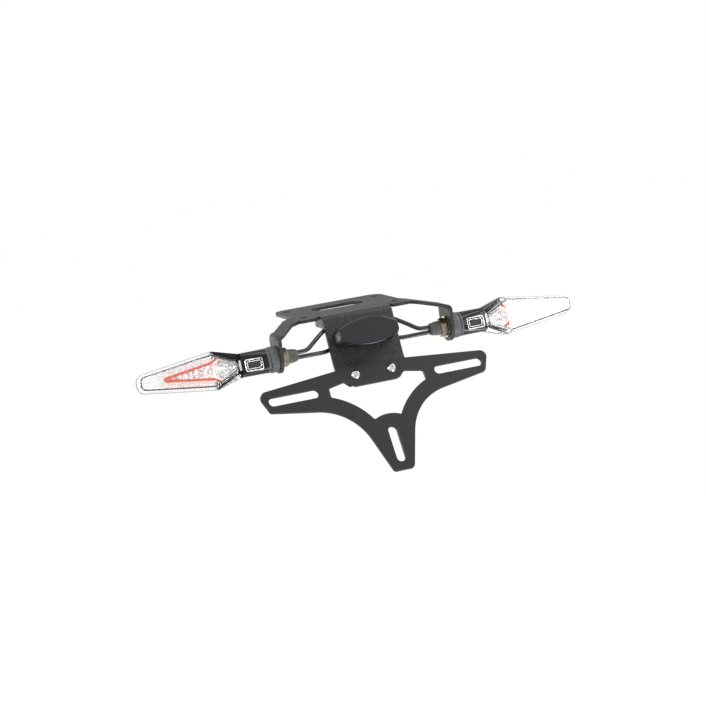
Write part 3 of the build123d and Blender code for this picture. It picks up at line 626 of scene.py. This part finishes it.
def reflector_relief(out, up):
    """Pillows outside the guide and prisms inside it, which fade out beside the guide so that it has a flat
    bed, and a dished cup round each LED where that is lower."""
    pillows = PILLOW_LIFT * (pillow_domes(out, up) - 1)
    folds = PRISM_FOLD * (wave(out, PRISM) - 1) + PRISM_RIDGE * (wave(up, PRISM) - 1)
    past = past_guide(out, up)
    beside = np.clip((np.abs(past) - GUIDE_BED) / GUIDE_BED_EASE, 0, 1)
    relief = REFLECTOR_DEPTH + beside * np.where((past < 0) | (out < GUIDE_HEEL), folds, pillows)
    for led_out, led_up in LED_PLACES:
        away = np.hypot(out - led_out, up - led_up)
        cup = REFLECTOR_DEPTH * (away**2 - CUP_FLOOR**2) / (CUP_RIM**2 - CUP_FLOOR**2)
        relief = np.minimum(relief, np.clip(cup, CUP_LEAST, None))
    return relief


def facet_painted_reflection(out, up):
    """Painted reflection of darker parts of the room on some prism faces: a repeatable scatter from 0 to 1
    for each prism face, which is what a large multiple of a sine leaves over; it is zero outside the guide
    and in the cups."""
    column, row = np.floor(2 * out / PRISM), np.floor(2 * up / PRISM)
    per_column, per_row, multiple = SCATTER
    scatter = (np.sin(column * per_column + row * per_row) * multiple) % 1
    on_prism = past_guide(out, up) < -GUIDE_BED
    for led_out, led_up in LED_PLACES:
        on_prism = on_prism & (np.hypot(out - led_out, up - led_up) > CUP_RIM)
    return np.clip(scatter * 2 - 1, 0, None) * FACET_SHARE * on_prism


def painted_guide_reflection(out, up):
    """Painted reflection of the red guide: a bell curve of the distance on each side of it. Outside, it is
    weaker on top of the pillows and fades out past the tip."""
    past = past_guide(out, up)
    outside = np.exp(-(((past - GLOW_OUTSIDE) / GLOW_OUTSIDE_REACH) ** 2)) * (past > GUIDE_BED)
    outside = outside * (1 - PILLOW_SHADE * pillow_domes(out, up))
    outside = outside * np.clip((GUIDE_TIP + GLOW_END - out) / GLOW_FADE, 0, 1)
    within = np.exp(-(((past + GLOW_WITHIN) / GLOW_WITHIN_REACH) ** 2)) * (past < -GUIDE_BED)
    return outside + GLOW_WITHIN_SHARE * within


inset = REFLECTOR_RIM + REFLECTOR_DEPTH * LENS_DRAFT
along = np.linspace(inset, HEAD_LENGTH - inset, 280)[:, None]
up = np.linspace(-1, 1, 90) * head_half(along, inset)
relief = reflector_relief(along, up)
relief[:, [0, -1]] = RIM_HEIGHT
relief[[0, -1]] = 0.0
flat = np.zeros_like(relief)
shape = head_shape(along, there_and_back(up, up), there_and_back(relief, flat))
# marks with painted reflections: the red of the guide, and darker tones on some prism faces
marks = {
    "painted_guide_reflection": there_and_back(painted_guide_reflection(along, up), flat).ravel(),
    "facet_painted_reflection": there_and_back(facet_painted_reflection(along, up), flat).ravel(),
}
add_pair("reflector", shape, metallised, ["indicator_reflector"], marks)

# %% [markdown]
# ## Light guide
#
# A tail light in this head is a V-shaped rod of tinted acrylic. Its section is a rounded block, a
# superellipse, and it is carried along the V. The V has arcs at its corners: an arc of a given radius
# touches both runs at the radius over the tangent of half the corner's angle, and its points are found by
# turning from one touching point to the other about the arc's centre.

# %% Guide rod
GUIDE_TOE, GUIDE_TOE_HALF = 17.5, 9.0
GUIDE_WIDTH, GUIDE_DEPTH, GUIDE_BEND = 2.0, 1.8, 1.1
END_STEPS = np.sin(np.linspace(0, np.pi / 2, 6))


def rounded_route(corners, radius, steps=14):
    """Straight runs joined by arcs, each found by turning about its centre between its touching points."""
    runs = [corners[:1]]
    for before, corner, after in zip(corners, corners[1:], corners[2:]):
        back, ahead = unit(before - corner), unit(after - corner)
        half_angle = np.arccos(back @ ahead) / 2
        middle = unit(back + ahead)
        centre = corner + middle * radius / np.sin(half_angle)
        start, end = (corner + way * radius / np.tan(half_angle) - centre for way in (back, ahead))
        swing = np.pi - 2 * half_angle
        turned = np.linspace(0, swing, steps)[:, None]
        runs.append(centre + (start * np.sin(swing - turned) + end * np.sin(turned)) / np.sin(swing))
    return np.concatenate(runs + [corners[-1:]])


def block_section(width, depth, steps=24, power=0.55):
    """A superellipse: the cosine and sine of an angle, each with its sign kept, to a power below one."""
    angle = full_turn(steps)
    across, rise = (np.sign(part) * np.abs(part) ** power for part in (np.cos(angle), np.sin(angle)))
    return across * width / 2, (rise + 1) * depth / 2


upper = np.array([(GUIDE_TOE, GUIDE_TOE_HALF), (GUIDE_HEEL, GUIDE_HEEL_HALF)])
corners = np.concatenate([upper, [(GUIDE_TIP, 0)], upper[::-1] * (1, -1)])
route = rounded_route(corners, GUIDE_BEND)
toe_way, last_way = unit(route[1] - route[0]), unit(route[-2] - route[-1])
nose = (1 - END_STEPS[::-1][:, None]) * GUIDE_WIDTH / 2
route = np.concatenate([route[0] + toe_way * nose, route[1:-1], (route[-1] + last_way * nose)[::-1]])
runs = unit(np.diff(route, axis=0))
tangent = unit(np.concatenate([runs[:1], runs[:-1] + runs[1:], runs[-1:]]))
size = np.ones(len(route))
size[: len(nose)] = np.sqrt(1 - END_STEPS[::-1] ** 2)
size[-len(nose) :] = size[: len(nose)][::-1]
across, rise = block_section(GUIDE_WIDTH, GUIDE_DEPTH)
side = across * size[:, None]
lift = (rise - GUIDE_DEPTH / 2) * size[:, None] + GUIDE_DEPTH / 2
out, up = route[:, :1] - tangent[:, 1:] * side, route[:, 1:] + tangent[:, :1] * side
shape = head_shape(out, up, REFLECTOR_DEPTH + lift)
add_pair("light_guide", shape, red_acrylic, ["indicator_guide"])

# %% [markdown]
# ## Turned parts
#
# Collars, boots, LEDs and bolts are turned shapes: a profile of radius and height goes round an axis.
# Round a nut the radius is the distance to a flat over the cosine of the angle from the flat's middle,
# and a cone cuts its corners at both ends. One function turns any such profile into a grid.

# %% Turning a profile


def turned_shape(radius, height, place, axes, steps=48):
    """Rings of given radius and height about an axis. The last joins the first, unless they are points."""
    angle = full_turn(steps)
    radius, height = (np.reshape(values, (len(height), -1)) for values in (radius, height))
    is_loop = radius[0].max() > 0
    return looped(radius * np.cos(angle), radius * np.sin(angle), height, axes, place, is_loop)


STUD_AXES = np.array([(0, 1, 0), (0, 0, 1), (1, 0, 0)])

# %% Rubber collars and cable boots
COLLAR_BORE = 4.2
collar_profile = np.array(
    [
        (COLLAR_BORE, 72.5), (9.7, 72.5), (10.1, 72.7), (10.2, 73.1), (10.2, 75.2), (10.05, 75.35),
        (10.05, 75.75), (10.2, 75.9), (10.2, 78.2), (10.0, 78.8), (9.4, 79.1), (9.0, 79.2), (9.0, 79.7),
        (9.4, 79.8), (9.65, 80.0), (9.7, 80.3), (9.7, 81.2), (9.5, 81.5), (9.2, 81.6), (COLLAR_BORE, 81.6),
    ]
)
shape = turned_shape(collar_profile[:, 0], collar_profile[:, 1], STUD_PLACE, STUD_AXES, 72)
add_pair("rubber_collar", shape, black_rubber, ["indicator_collar"], sharp=35.0)

BOOT_END, BOOT_SEAT, BOOT_RADIUS, BOOT_NECK, BOOT_PLUG = 55.5, 63.8, 5.6, 4.7, 2.0
BOOT_TAPER, BOOT_RIBS, BOOT_RIB_DEPTH, BOOT_RIB_END = 1.6, 4, 0.35, 0.75
BOOT_NOSE, BOOT_NOSE_DRAW = 0.12, 0.35

share = np.linspace(0, 1, 40)
boot_radius = BOOT_NECK + (BOOT_RADIUS - BOOT_NECK) * np.minimum(1, share * BOOT_TAPER)
ribs = (1 - np.cos(2 * np.pi * BOOT_RIBS * share)) / 2 * (share < BOOT_RIB_END)
nose = (1 - np.clip(share / BOOT_NOSE, 0, 1)) ** 2
boot_radius = (boot_radius - BOOT_RIB_DEPTH * ribs) * np.sqrt(1 - nose * BOOT_NOSE_DRAW)
boot_radius = np.concatenate([[0.0], boot_radius, [COLLAR_BORE, COLLAR_BORE, 0.0]])
boot_height = BOOT_END + (BOOT_SEAT - BOOT_END) * share
plug_end = BOOT_SEAT - BOOT_PLUG
boot_height = np.concatenate([[BOOT_END], boot_height, [BOOT_SEAT, plug_end, plug_end]])
shape = turned_shape(boot_radius, boot_height, STUD_PLACE, STUD_AXES)
add_pair("cable_boot", shape, grey_rubber, ["indicator_boot"], sharp=35.0)

# %% Hex nuts
CARRIER_PLACE = np.array([0, -59.003, -44.927])
CARRIER_AXES = turned_about_x(np.radians(-60))
BOLT_PITCH = 30.0
BOLT_PLACES = [CARRIER_PLACE + (side * BOLT_PITCH / 2, 0, 0) for side in (-1, 1)]
CONE_END, CONE_FOOT, CONE_SLOPE = 0.16, 0.96, np.radians(30)


def hex_nut(place, axes, flats, bore, low, high):
    """Radius to a flat over the cosine from the flat's middle, cut at both ends by shallow cones."""
    steps = 96
    angle = full_turn(steps)
    flat = flats / 2 / np.cos((angle + np.pi / 6) % (np.pi / 3) - np.pi / 6)
    level = np.concatenate([np.linspace(0, CONE_END, 6), np.linspace(1 - CONE_END, 1, 6)])[:, None]
    from_end = np.minimum(level, 1 - level) * (high - low)
    outside = np.minimum(flat, flats / 2 * CONE_FOOT + from_end / np.tan(CONE_SLOPE))
    rim = np.full((1, steps), bore)
    radius = np.concatenate([rim, outside, rim])
    height = low + (high - low) * np.concatenate([[0.0], level.ravel(), [1.0]])
    return turned_shape(radius, height, place, axes, steps)


shape = hex_nut(STUD_PLACE, STUD_AXES, flats=13.0, bore=4.05, low=63.8, high=68.8)
add_pair("stud_nut", shape, zinc, ["indicator_nut"], sharp=20.0)
nuts = [hex_nut(place, CARRIER_AXES, flats=7.0, bore=2.05, low=-9.5, high=-6.3) for place in BOLT_PLACES]
add_piece("carrier_bolt_nuts", join_grids(nuts), stainless, ["carrier_nuts"], sharp=20.0)

# %% [markdown]
# The carrier bolts have domed button heads with a hex socket. The dome is part of a ball, and the ball's
# radius is half of the head's radius squared plus its height squared, over the height. Their thread shows
# behind the nuts: it is a triangle wave that climbs by one pitch in each turn, so its phase is the height
# over the pitch plus the angle over a full turn.

# %% Button-head bolts
BUTTON_RADIUS, BUTTON_HEIGHT, SOCKET_FLATS, SOCKET_DEPTH = 3.8, 2.3, 2.5, 1.2
SHANK_RADIUS, SHANK_END, SHANK_CHAMFER, SHANK_TIP = 2.0, -10.7, 0.3, 1.5
THREAD_PITCH, THREAD_DEPTH, SOCKET_RIM = 0.7, 0.22, 1.05

steps = 72
angle = full_turn(steps)
ring = np.ones((1, steps))
socket = SOCKET_FLATS / 2 / np.cos(angle % (np.pi / 3) - np.pi / 6)[None, :]
ball = (BUTTON_RADIUS**2 + BUTTON_HEIGHT**2) / (2 * BUTTON_HEIGHT)
dome_radius = np.linspace(SOCKET_RIM * socket.max(), BUTTON_RADIUS, 12)
dome_height = BUTTON_HEIGHT - ball + np.sqrt(ball**2 - dome_radius**2)
climb = np.linspace(0, SHANK_END + SHANK_CHAMFER, 110)
thread = SHANK_RADIUS - THREAD_DEPTH * wave(climb[:, None] / THREAD_PITCH + angle / (2 * np.pi), 1.0)
radius = np.concatenate(
    [0 * ring, socket, socket, dome_radius[:, None] * ring, thread, SHANK_TIP * ring, 0 * ring]
)
mouth = [BUTTON_HEIGHT - SOCKET_DEPTH, BUTTON_HEIGHT - SOCKET_DEPTH, dome_height[0]]
height = np.concatenate([mouth, dome_height, climb, [SHANK_END, SHANK_END]])
bolts = [turned_shape(radius, height, place, CARRIER_AXES, steps) for place in BOLT_PLACES]
add_piece("button_head_bolts", join_grids(bolts), stainless, ["carrier_bolts"], sharp=35.0)

# %% [markdown]
# Each LED is a small clear dome on a round foot, at the bottom of its cup.

# %% LED domes
LED_RADIUS, LED_FOOT, DOME_RADIUS, DOME_FOOT, LED_HEIGHT = 1.0, 0.35, 0.85, 0.45, 1.3

arc = np.linspace(0, np.pi / 2, 7)
led_radius = np.concatenate([[0.0, LED_RADIUS, LED_RADIUS], DOME_RADIUS * np.cos(arc)])
led_height = np.concatenate([[0.0, 0.0, LED_FOOT], DOME_FOOT + (LED_HEIGHT - DOME_FOOT) * np.sin(arc)])
places = [PARTING + (*led, 0) @ HEAD_AXES for led in LED_PLACES]
domes = [turned_shape(led_radius, led_height, place, HEAD_AXES, 20) for place in places]
add_pair("led_domes", join_grids(domes), led_epoxy, ["indicator_leds"], sharp=35.0)

# %% [markdown]
# ## Stalk trim
#
# A plated frame lies round the bare badge on each stalk, and a finer plated line lies on the badge, so
# the trim reads as two bright lines with black between them. The section of each goes round a rectangle
# with round corners: a point of the path is a corner's centre plus a radius turned by the angle, and
# moving inwards shortens that radius.

# %% Plated frame
TRIM_OUT, TRIM_SEAT, TRIM_DROP, BADGE_LIFT = 92.6, 5.8, 1.3, 0.8


def stalk_frame(half_length, half_height, corner, bar, seat, lift):
    """A bar with a round top, carried round a rectangle with round corners on the stalk's rear face."""
    crown = np.linspace(0, np.pi, 9)
    inwards = np.concatenate([[0.0], bar / 2 * (1 - np.cos(crown)), [bar]])
    rise = np.concatenate([[0.0], lift - bar / 3 * (1 - np.sin(crown)), [0.0]])
    quarter = np.linspace(0, np.pi / 2, 9)
    angle = np.concatenate([quarter + turn * np.pi / 2 for turn in range(4)])[:, None]
    side = np.repeat(np.array([(1, 1), (-1, 1), (-1, -1), (1, -1)]), len(quarter), axis=0)
    shrink = corner - inwards
    along = side[:, :1] * (half_length - corner) + shrink * np.cos(angle)
    upwards = side[:, 1:] * (half_height - corner) + shrink * np.sin(angle)
    # the stalk points straight out, and its up and back turn about the stud's middle line
    return looped(TRIM_OUT + along, -seat - rise, upwards - TRIM_DROP, TURN_UP, STUD_PLACE, close_rows=True)


trim_frame = stalk_frame(half_length=7.3, half_height=4.8, corner=1.4, bar=0.8, seat=TRIM_SEAT, lift=1.6)
line_seat = TRIM_SEAT + BADGE_LIFT
badge_line = stalk_frame(half_length=5.6, half_height=3.0, corner=0.6, bar=0.5, seat=line_seat, lift=0.5)
shape = join_grids([trim_frame, badge_line])
add_pair("stalk_trim_frame", shape, plated_trim, ["indicator_trim"], sharp=50.0)

# %% [markdown]
# ## Flutes and ribs
#
# Along the two short sides of each head lies a fluted bezel. It climbs the inside of the lens wall and
# then slopes down to the reflector, and its ridges run along the side, so they show through the lens as
# fine bright lines. The side that climbs the wall is black almost to the top. Each fluted or ribbed strip
# is a closed loop of points carried along the side, and its two end loops are drawn together to one
# point, so that it is closed. A mark on each point says how black it is: on the climbing side, unplated
# black, and in a groove, a painted reflection of the black yoke, darkest where the groove is deepest.

# %% Fluted bezels
BEZEL_RUN = (4.4, 20.0)
BEZEL_INSETS, BEZEL_HEIGHTS = (1.9, 3.4, 6.1), (0.7, 6.0, 3.2)
BEZEL_RIDGE, BEZEL_THICK = 0.3, 0.12
BEZEL_NARROWS, BEZEL_LEAST = (13.5, 16.5), 0.12
FLUTE, FLUTES, PLATED, PLATED_EASE = 0.3, 2, 0.8, 0.1
GROOVE_GAIN, GROOVE_START = 1.6, 0.7


def groove_painted_reflection(share, count):
    """Painted reflection of the black yoke between ridges: zero over most of a ridge, one where a cosine is
    lowest.
    """
    return np.clip(-GROOVE_GAIN * np.cos(2 * np.pi * count * share) - GROOVE_START, 0, 1)


run = np.linspace(*BEZEL_RUN, 40)[:, None]
share = np.linspace(0, 1, 61)
climb = np.clip(share / BEZEL_RIDGE, 0, 1)
down_slope = np.clip((share - BEZEL_RIDGE) / (1 - BEZEL_RIDGE), 0, 1)
wide = np.interp(run, BEZEL_NARROWS, (1, BEZEL_LEAST))
foot_inset, top_inset, end_inset = BEZEL_INSETS
foot_height, top_height, end_height = BEZEL_HEIGHTS
inset = foot_inset + (top_inset - foot_inset) * climb + (end_inset - top_inset) * down_slope * wide
ripple = FLUTE * (np.cos(2 * np.pi * FLUTES * down_slope) - 1) / 2
front = foot_height + (top_height - foot_height) * climb
front = front + ((end_height - top_height) * down_slope + ripple) * wide
half = root_side(run, there_and_back(inset, inset))
depth = there_and_back(front, front - BEZEL_THICK)
close_ends(half, depth)
unplated = np.clip((PLATED - climb) / PLATED_EASE, 0, 1)
# marks: unplated black on the side that climbs the wall, and a painted reflection of the black yoke in the
# grooves
lines = np.where(share > BEZEL_RIDGE, groove_painted_reflection(down_slope, FLUTES), unplated)
bezels = []
for side in (1, -1):
    points, faces = head_shape(run, side * half, depth)
    bezels.append((points, faces[:, ::side]))
marks = {"unplated_and_painted_groove_reflection": np.tile(there_and_back(lines, lines), len(bezels) * len(run))}
add_pair("fluted_bezels", join_grids(bezels), ribbed_plate, marks=marks)

# %% [markdown]
# Below the lens, each yoke has a ribbed cheek that is plated too. Its ribs run from the stalk to the
# widest point of the head. Seen square on, the cheek is a wedge: one side follows the lens and the other
# runs straight from the stalk's edge, so a point on it is a share of the way from the first side to the
# second.

# %% Ribbed cheeks
CHEEK_START, CHEEK_END, CHEEK_SEAT, CHEEK_LIFT = 0.4, 20.3, 0.6, 0.4
CHEEK_GAP, CHEEK_SKIN, CHEEK_SINK = 0.3, 0.05, 0.02
STALK_HALF, CHEEK_END_HALF = 9.3, 15.1
RIBS = 3

run = np.linspace(CHEEK_START, CHEEK_END, 20)[:, None]
share = np.linspace(0, 1, 65)
loop_share = there_and_back(share, share)
crown = CHEEK_SEAT + CHEEK_LIFT * (1 + np.cos(2 * np.pi * RIBS * share)) / 2 + CHEEK_SKIN
seat = np.full(len(share), CHEEK_SEAT - CHEEK_SINK)
lens_side = root_side(run, -CHEEK_GAP)
outer_side = STALK_HALF + (CHEEK_END_HALF - STALK_HALF) * run / CHEEK_END
half = lens_side + (outer_side - lens_side) * loop_share
depth = np.tile(there_and_back(crown, seat), (len(run), 1))
close_ends(half, depth)
shape = head_shape(run, -half, depth)
# marks: a painted reflection of the black yoke in the grooves between the ribs
marks = {"unplated_and_painted_groove_reflection": np.tile(groove_painted_reflection(loop_share, RIBS), len(run))}
add_pair("ribbed_cheek", shape, ribbed_plate, marks=marks)

# %% [markdown]
# A plated bar closes the gap between the end of the stalk and the sloping root of the lens. One side of
# its section follows the stalk's end, the other follows the lens, and a crown joins them. The head is
# swept, so the stalk's end leans in the head's directions by the angle of sweep.

# %% Root bars
BAR_HALF, BAR_FOOT, BAR_TOP, BAR_CROWN, BAR_GAP = 4.4, 1.2, 7.6, 0.5, 0.15

crown = np.linspace(0, np.pi, 13)
section_back = np.concatenate([[BAR_FOOT], BAR_TOP - BAR_CROWN * (1 - np.sin(crown)), [BAR_FOOT]])
stalk_end = -(section_back - PARTING_FORWARD) * np.tan(HEAD_SWEEP)
lens_root = section_back * LENS_DRAFT - BAR_GAP
section_share = np.concatenate([[0.0], (1 - np.cos(crown)) / 2, [1.0]])
section_out = stalk_end + (lens_root - stalk_end) * section_share
along = np.linspace(-BAR_HALF, BAR_HALF, 12)[:, None]
bar_out, bar_back = (np.tile(section, (len(along), 1)) for section in (section_out, section_back))
close_ends(bar_out, bar_back)
shape = head_shape(bar_out, along, bar_back)
add_pair("root_bar", shape, plated_trim, sharp=50.0)

# %% [markdown]
# The two shells of a head are welded along their edge. A fine grey bead in the clear plastic there draws
# the outline of the head: a painted dark line that stands in for the dark edge that refraction draws in
# the clear wall. Its section is a circle, and each point of the circle has an inset and a depth. The plan
# of the head, drawn in by that inset, is then one line along the bead.

# %% Outline beads
OUTLINE_INSET, OUTLINE_RADIUS = 0.52, 0.47

angle = full_turn(12)
inset = OUTLINE_INSET + OUTLINE_RADIUS * np.cos(angle)
share = (1 - np.cos(np.linspace(0, np.pi, 120)))[:, None] / 2
along = inset + (HEAD_LENGTH - 2 * inset) * share
half = head_half(along, inset)
out = np.concatenate([along, along[::-1]])
up = np.concatenate([half, -half[::-1]])
shape = head_shape(out, up, OUTLINE_RADIUS * np.sin(angle), close_rows=True)
# the grey bead is a painted dark line round each head
add_pair("painted_outline_line", shape, painted_outline_bead)

# %% [markdown]
# ## Plate light
#
# The housing is a barrel-shaped moulding that stands square on the panel. Between its two ends its
# underside is cut back, so that the window in it looks down on the number plate, and a lip of the face
# hangs over it. A solid with a hollow underside could be cut with a Boolean, but here the section across
# the barrel is simple: an upper wall, a round rim, a flat face and an underside whose height depends on
# the place. That section is carried along the barrel. The panel leans back, so the light has its own
# directions: across, up and out of the panel.

# %% Directions and outline of the plate light
PANEL_LEAN = np.radians(20.0)
BARREL_LENGTH, BARREL_END, BARREL_MIDDLE, BARREL_CORNER = 50.0, 10.0, 22.5, 2.0
BARREL_FOOT, BARREL_FACE, BARREL_DRAFT, RIM_RADIUS = 1.0, 18.0, np.tan(np.radians(2.0)), 1.0

LIGHT_AXES = turned_about_x(PANEL_LEAN - np.pi / 2)
gasket_low, gasket_high = (np.array(corner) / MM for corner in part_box("light_gasket"))
LIGHT_PLACE = (gasket_low + gasket_high) / 2 - BARREL_FOOT / 2 * LIGHT_AXES[2]


def light_shape(across, up, out):
    """Across, up and out in millimetres, each along its own direction of the plate light."""
    return looped(across, up, out, LIGHT_AXES, LIGHT_PLACE)


def barrel_half(across):
    """Half height of the barrel: an arc through its ends and middle, less what the round corners take."""
    sag = (BARREL_MIDDLE - BARREL_END) / 2
    radius = ((BARREL_LENGTH / 2) ** 2 + sag**2) / (2 * sag)
    past = np.clip(np.abs(across) - BARREL_LENGTH / 2 + BARREL_CORNER, 0, BARREL_CORNER)
    corner = BARREL_CORNER - np.sqrt(BARREL_CORNER**2 - past**2)
    return BARREL_MIDDLE / 2 - radius + np.sqrt(radius**2 - across**2) - corner


def draw_in(out):
    """How far the walls have drawn in at a distance from the panel: by draft, and then round the rim."""
    past = np.clip(out - BARREL_FACE + RIM_RADIUS, 0, RIM_RADIUS)
    return (out - BARREL_FOOT) * BARREL_DRAFT + RIM_RADIUS - np.sqrt(RIM_RADIUS**2 - past**2)


# %% Housing, window and gasket
LIP, UNDERCUT = 2.0, np.tan(np.radians(16.0))
END_WALL, STEP_EASE = 4.0, 0.6
WINDOW_HALF, WINDOW_OUT, POCKET_UP = 12.0, (5.5, 14.5), -5.0
WINDOW_GAP, WINDOW_THICK = 0.2, 1.0
FACE_EDGE, FACE_FIELD = 0.97, 0.9


def underside(across, out):
    """Height of the cut-back underside: it rises from the lip towards the panel, between the end walls."""
    slope = np.clip(BARREL_FACE - LIP - out, 0, None) * UNDERCUT
    between = np.clip((BARREL_LENGTH / 2 - END_WALL - np.abs(across)) / STEP_EASE, 0, 1)
    return draw_in(out) - barrel_half(across) + slope * between


def pocket(across, out):
    """One in the pocket behind the window and zero round it, with a short steep step between them."""
    from_ends = np.minimum(out - WINDOW_OUT[0], WINDOW_OUT[1] - out)
    from_sides = WINDOW_HALF - np.abs(across)
    return np.clip(np.minimum(from_ends, from_sides) / STEP_EASE, 0, 1)


def barrel_across(across, out):
    """Distance across, drawn in with the walls so that the ends have the same draft."""
    return across * (1 - 2 * draw_in(out) / BARREL_LENGTH)


stations = np.sin(np.linspace(-np.pi / 2, np.pi / 2, 121)) * BARREL_LENGTH / 2
stations = np.concatenate([stations[:1], stations, stations[-1:]])[:, None]
wall = np.linspace(BARREL_FOOT, BARREL_FACE - RIM_RADIUS, 60)
rim = BARREL_FACE - RIM_RADIUS + RIM_RADIUS * np.sin(np.linspace(0, np.pi / 2, 8))[1:]
rising = np.concatenate([wall, rim])
face = np.concatenate([[-FACE_EDGE], np.linspace(-FACE_FIELD, FACE_FIELD, 10), [FACE_EDGE]])
low = underside(stations, rising)
low = low + (POCKET_UP - low) * pocket(stations, rising)
high = barrel_half(stations) - draw_in(rising)
out = np.concatenate([rising, np.full(len(face), BARREL_FACE), rising[::-1]])
up = np.concatenate([low, face * high[:, -1:], high[:, ::-1]], 1)
up[[0, -1]] = 0.0
shape = light_shape(barrel_across(stations, out), up, out)
on_rim = rising > wall[-1]
polish = np.concatenate([on_rim, np.zeros(len(face)), on_rim[::-1]])
marks = {"rim_polish": np.tile(polish, len(stations))}
add_piece("plate_light_housing", shape, satin_abs, ["light_housing"], marks, sharp=30.0)

across = np.linspace(-1, 1, 40)[:, None] * (WINDOW_HALF - WINDOW_GAP)
rising = np.linspace(WINDOW_OUT[0] + WINDOW_GAP, WINDOW_OUT[1] - WINDOW_GAP, 12)
outer = underside(across, rising)
up = there_and_back(outer, outer + WINDOW_THICK)
depth = np.tile(there_and_back(rising, rising), (len(across), 1))
close_ends(up, depth)
shape = light_shape(across, up, depth)
add_piece("plate_light_window", shape, clear_lens, ["light_lens"], sharp=30.0)

low, high = underside(stations, BARREL_FOOT), barrel_half(stations)
up = np.concatenate([low, low, high, high], 1)
up[[0, -1]] = 0.0
depth = np.array([0, BARREL_FOOT, BARREL_FOOT, 0])
shape = light_shape(stations, up, depth)
add_piece("plate_light_gasket", shape, black_rubber, ["light_gasket"], sharp=30.0)
print("plate light stands", BARREL_FACE, "mm out of the panel")

# %% [markdown]
# ## Finish
#
# The last step sets the view transform so that colours come out as written.

# %% View transform
bpy.context.scene.view_settings.view_transform = "Standard"
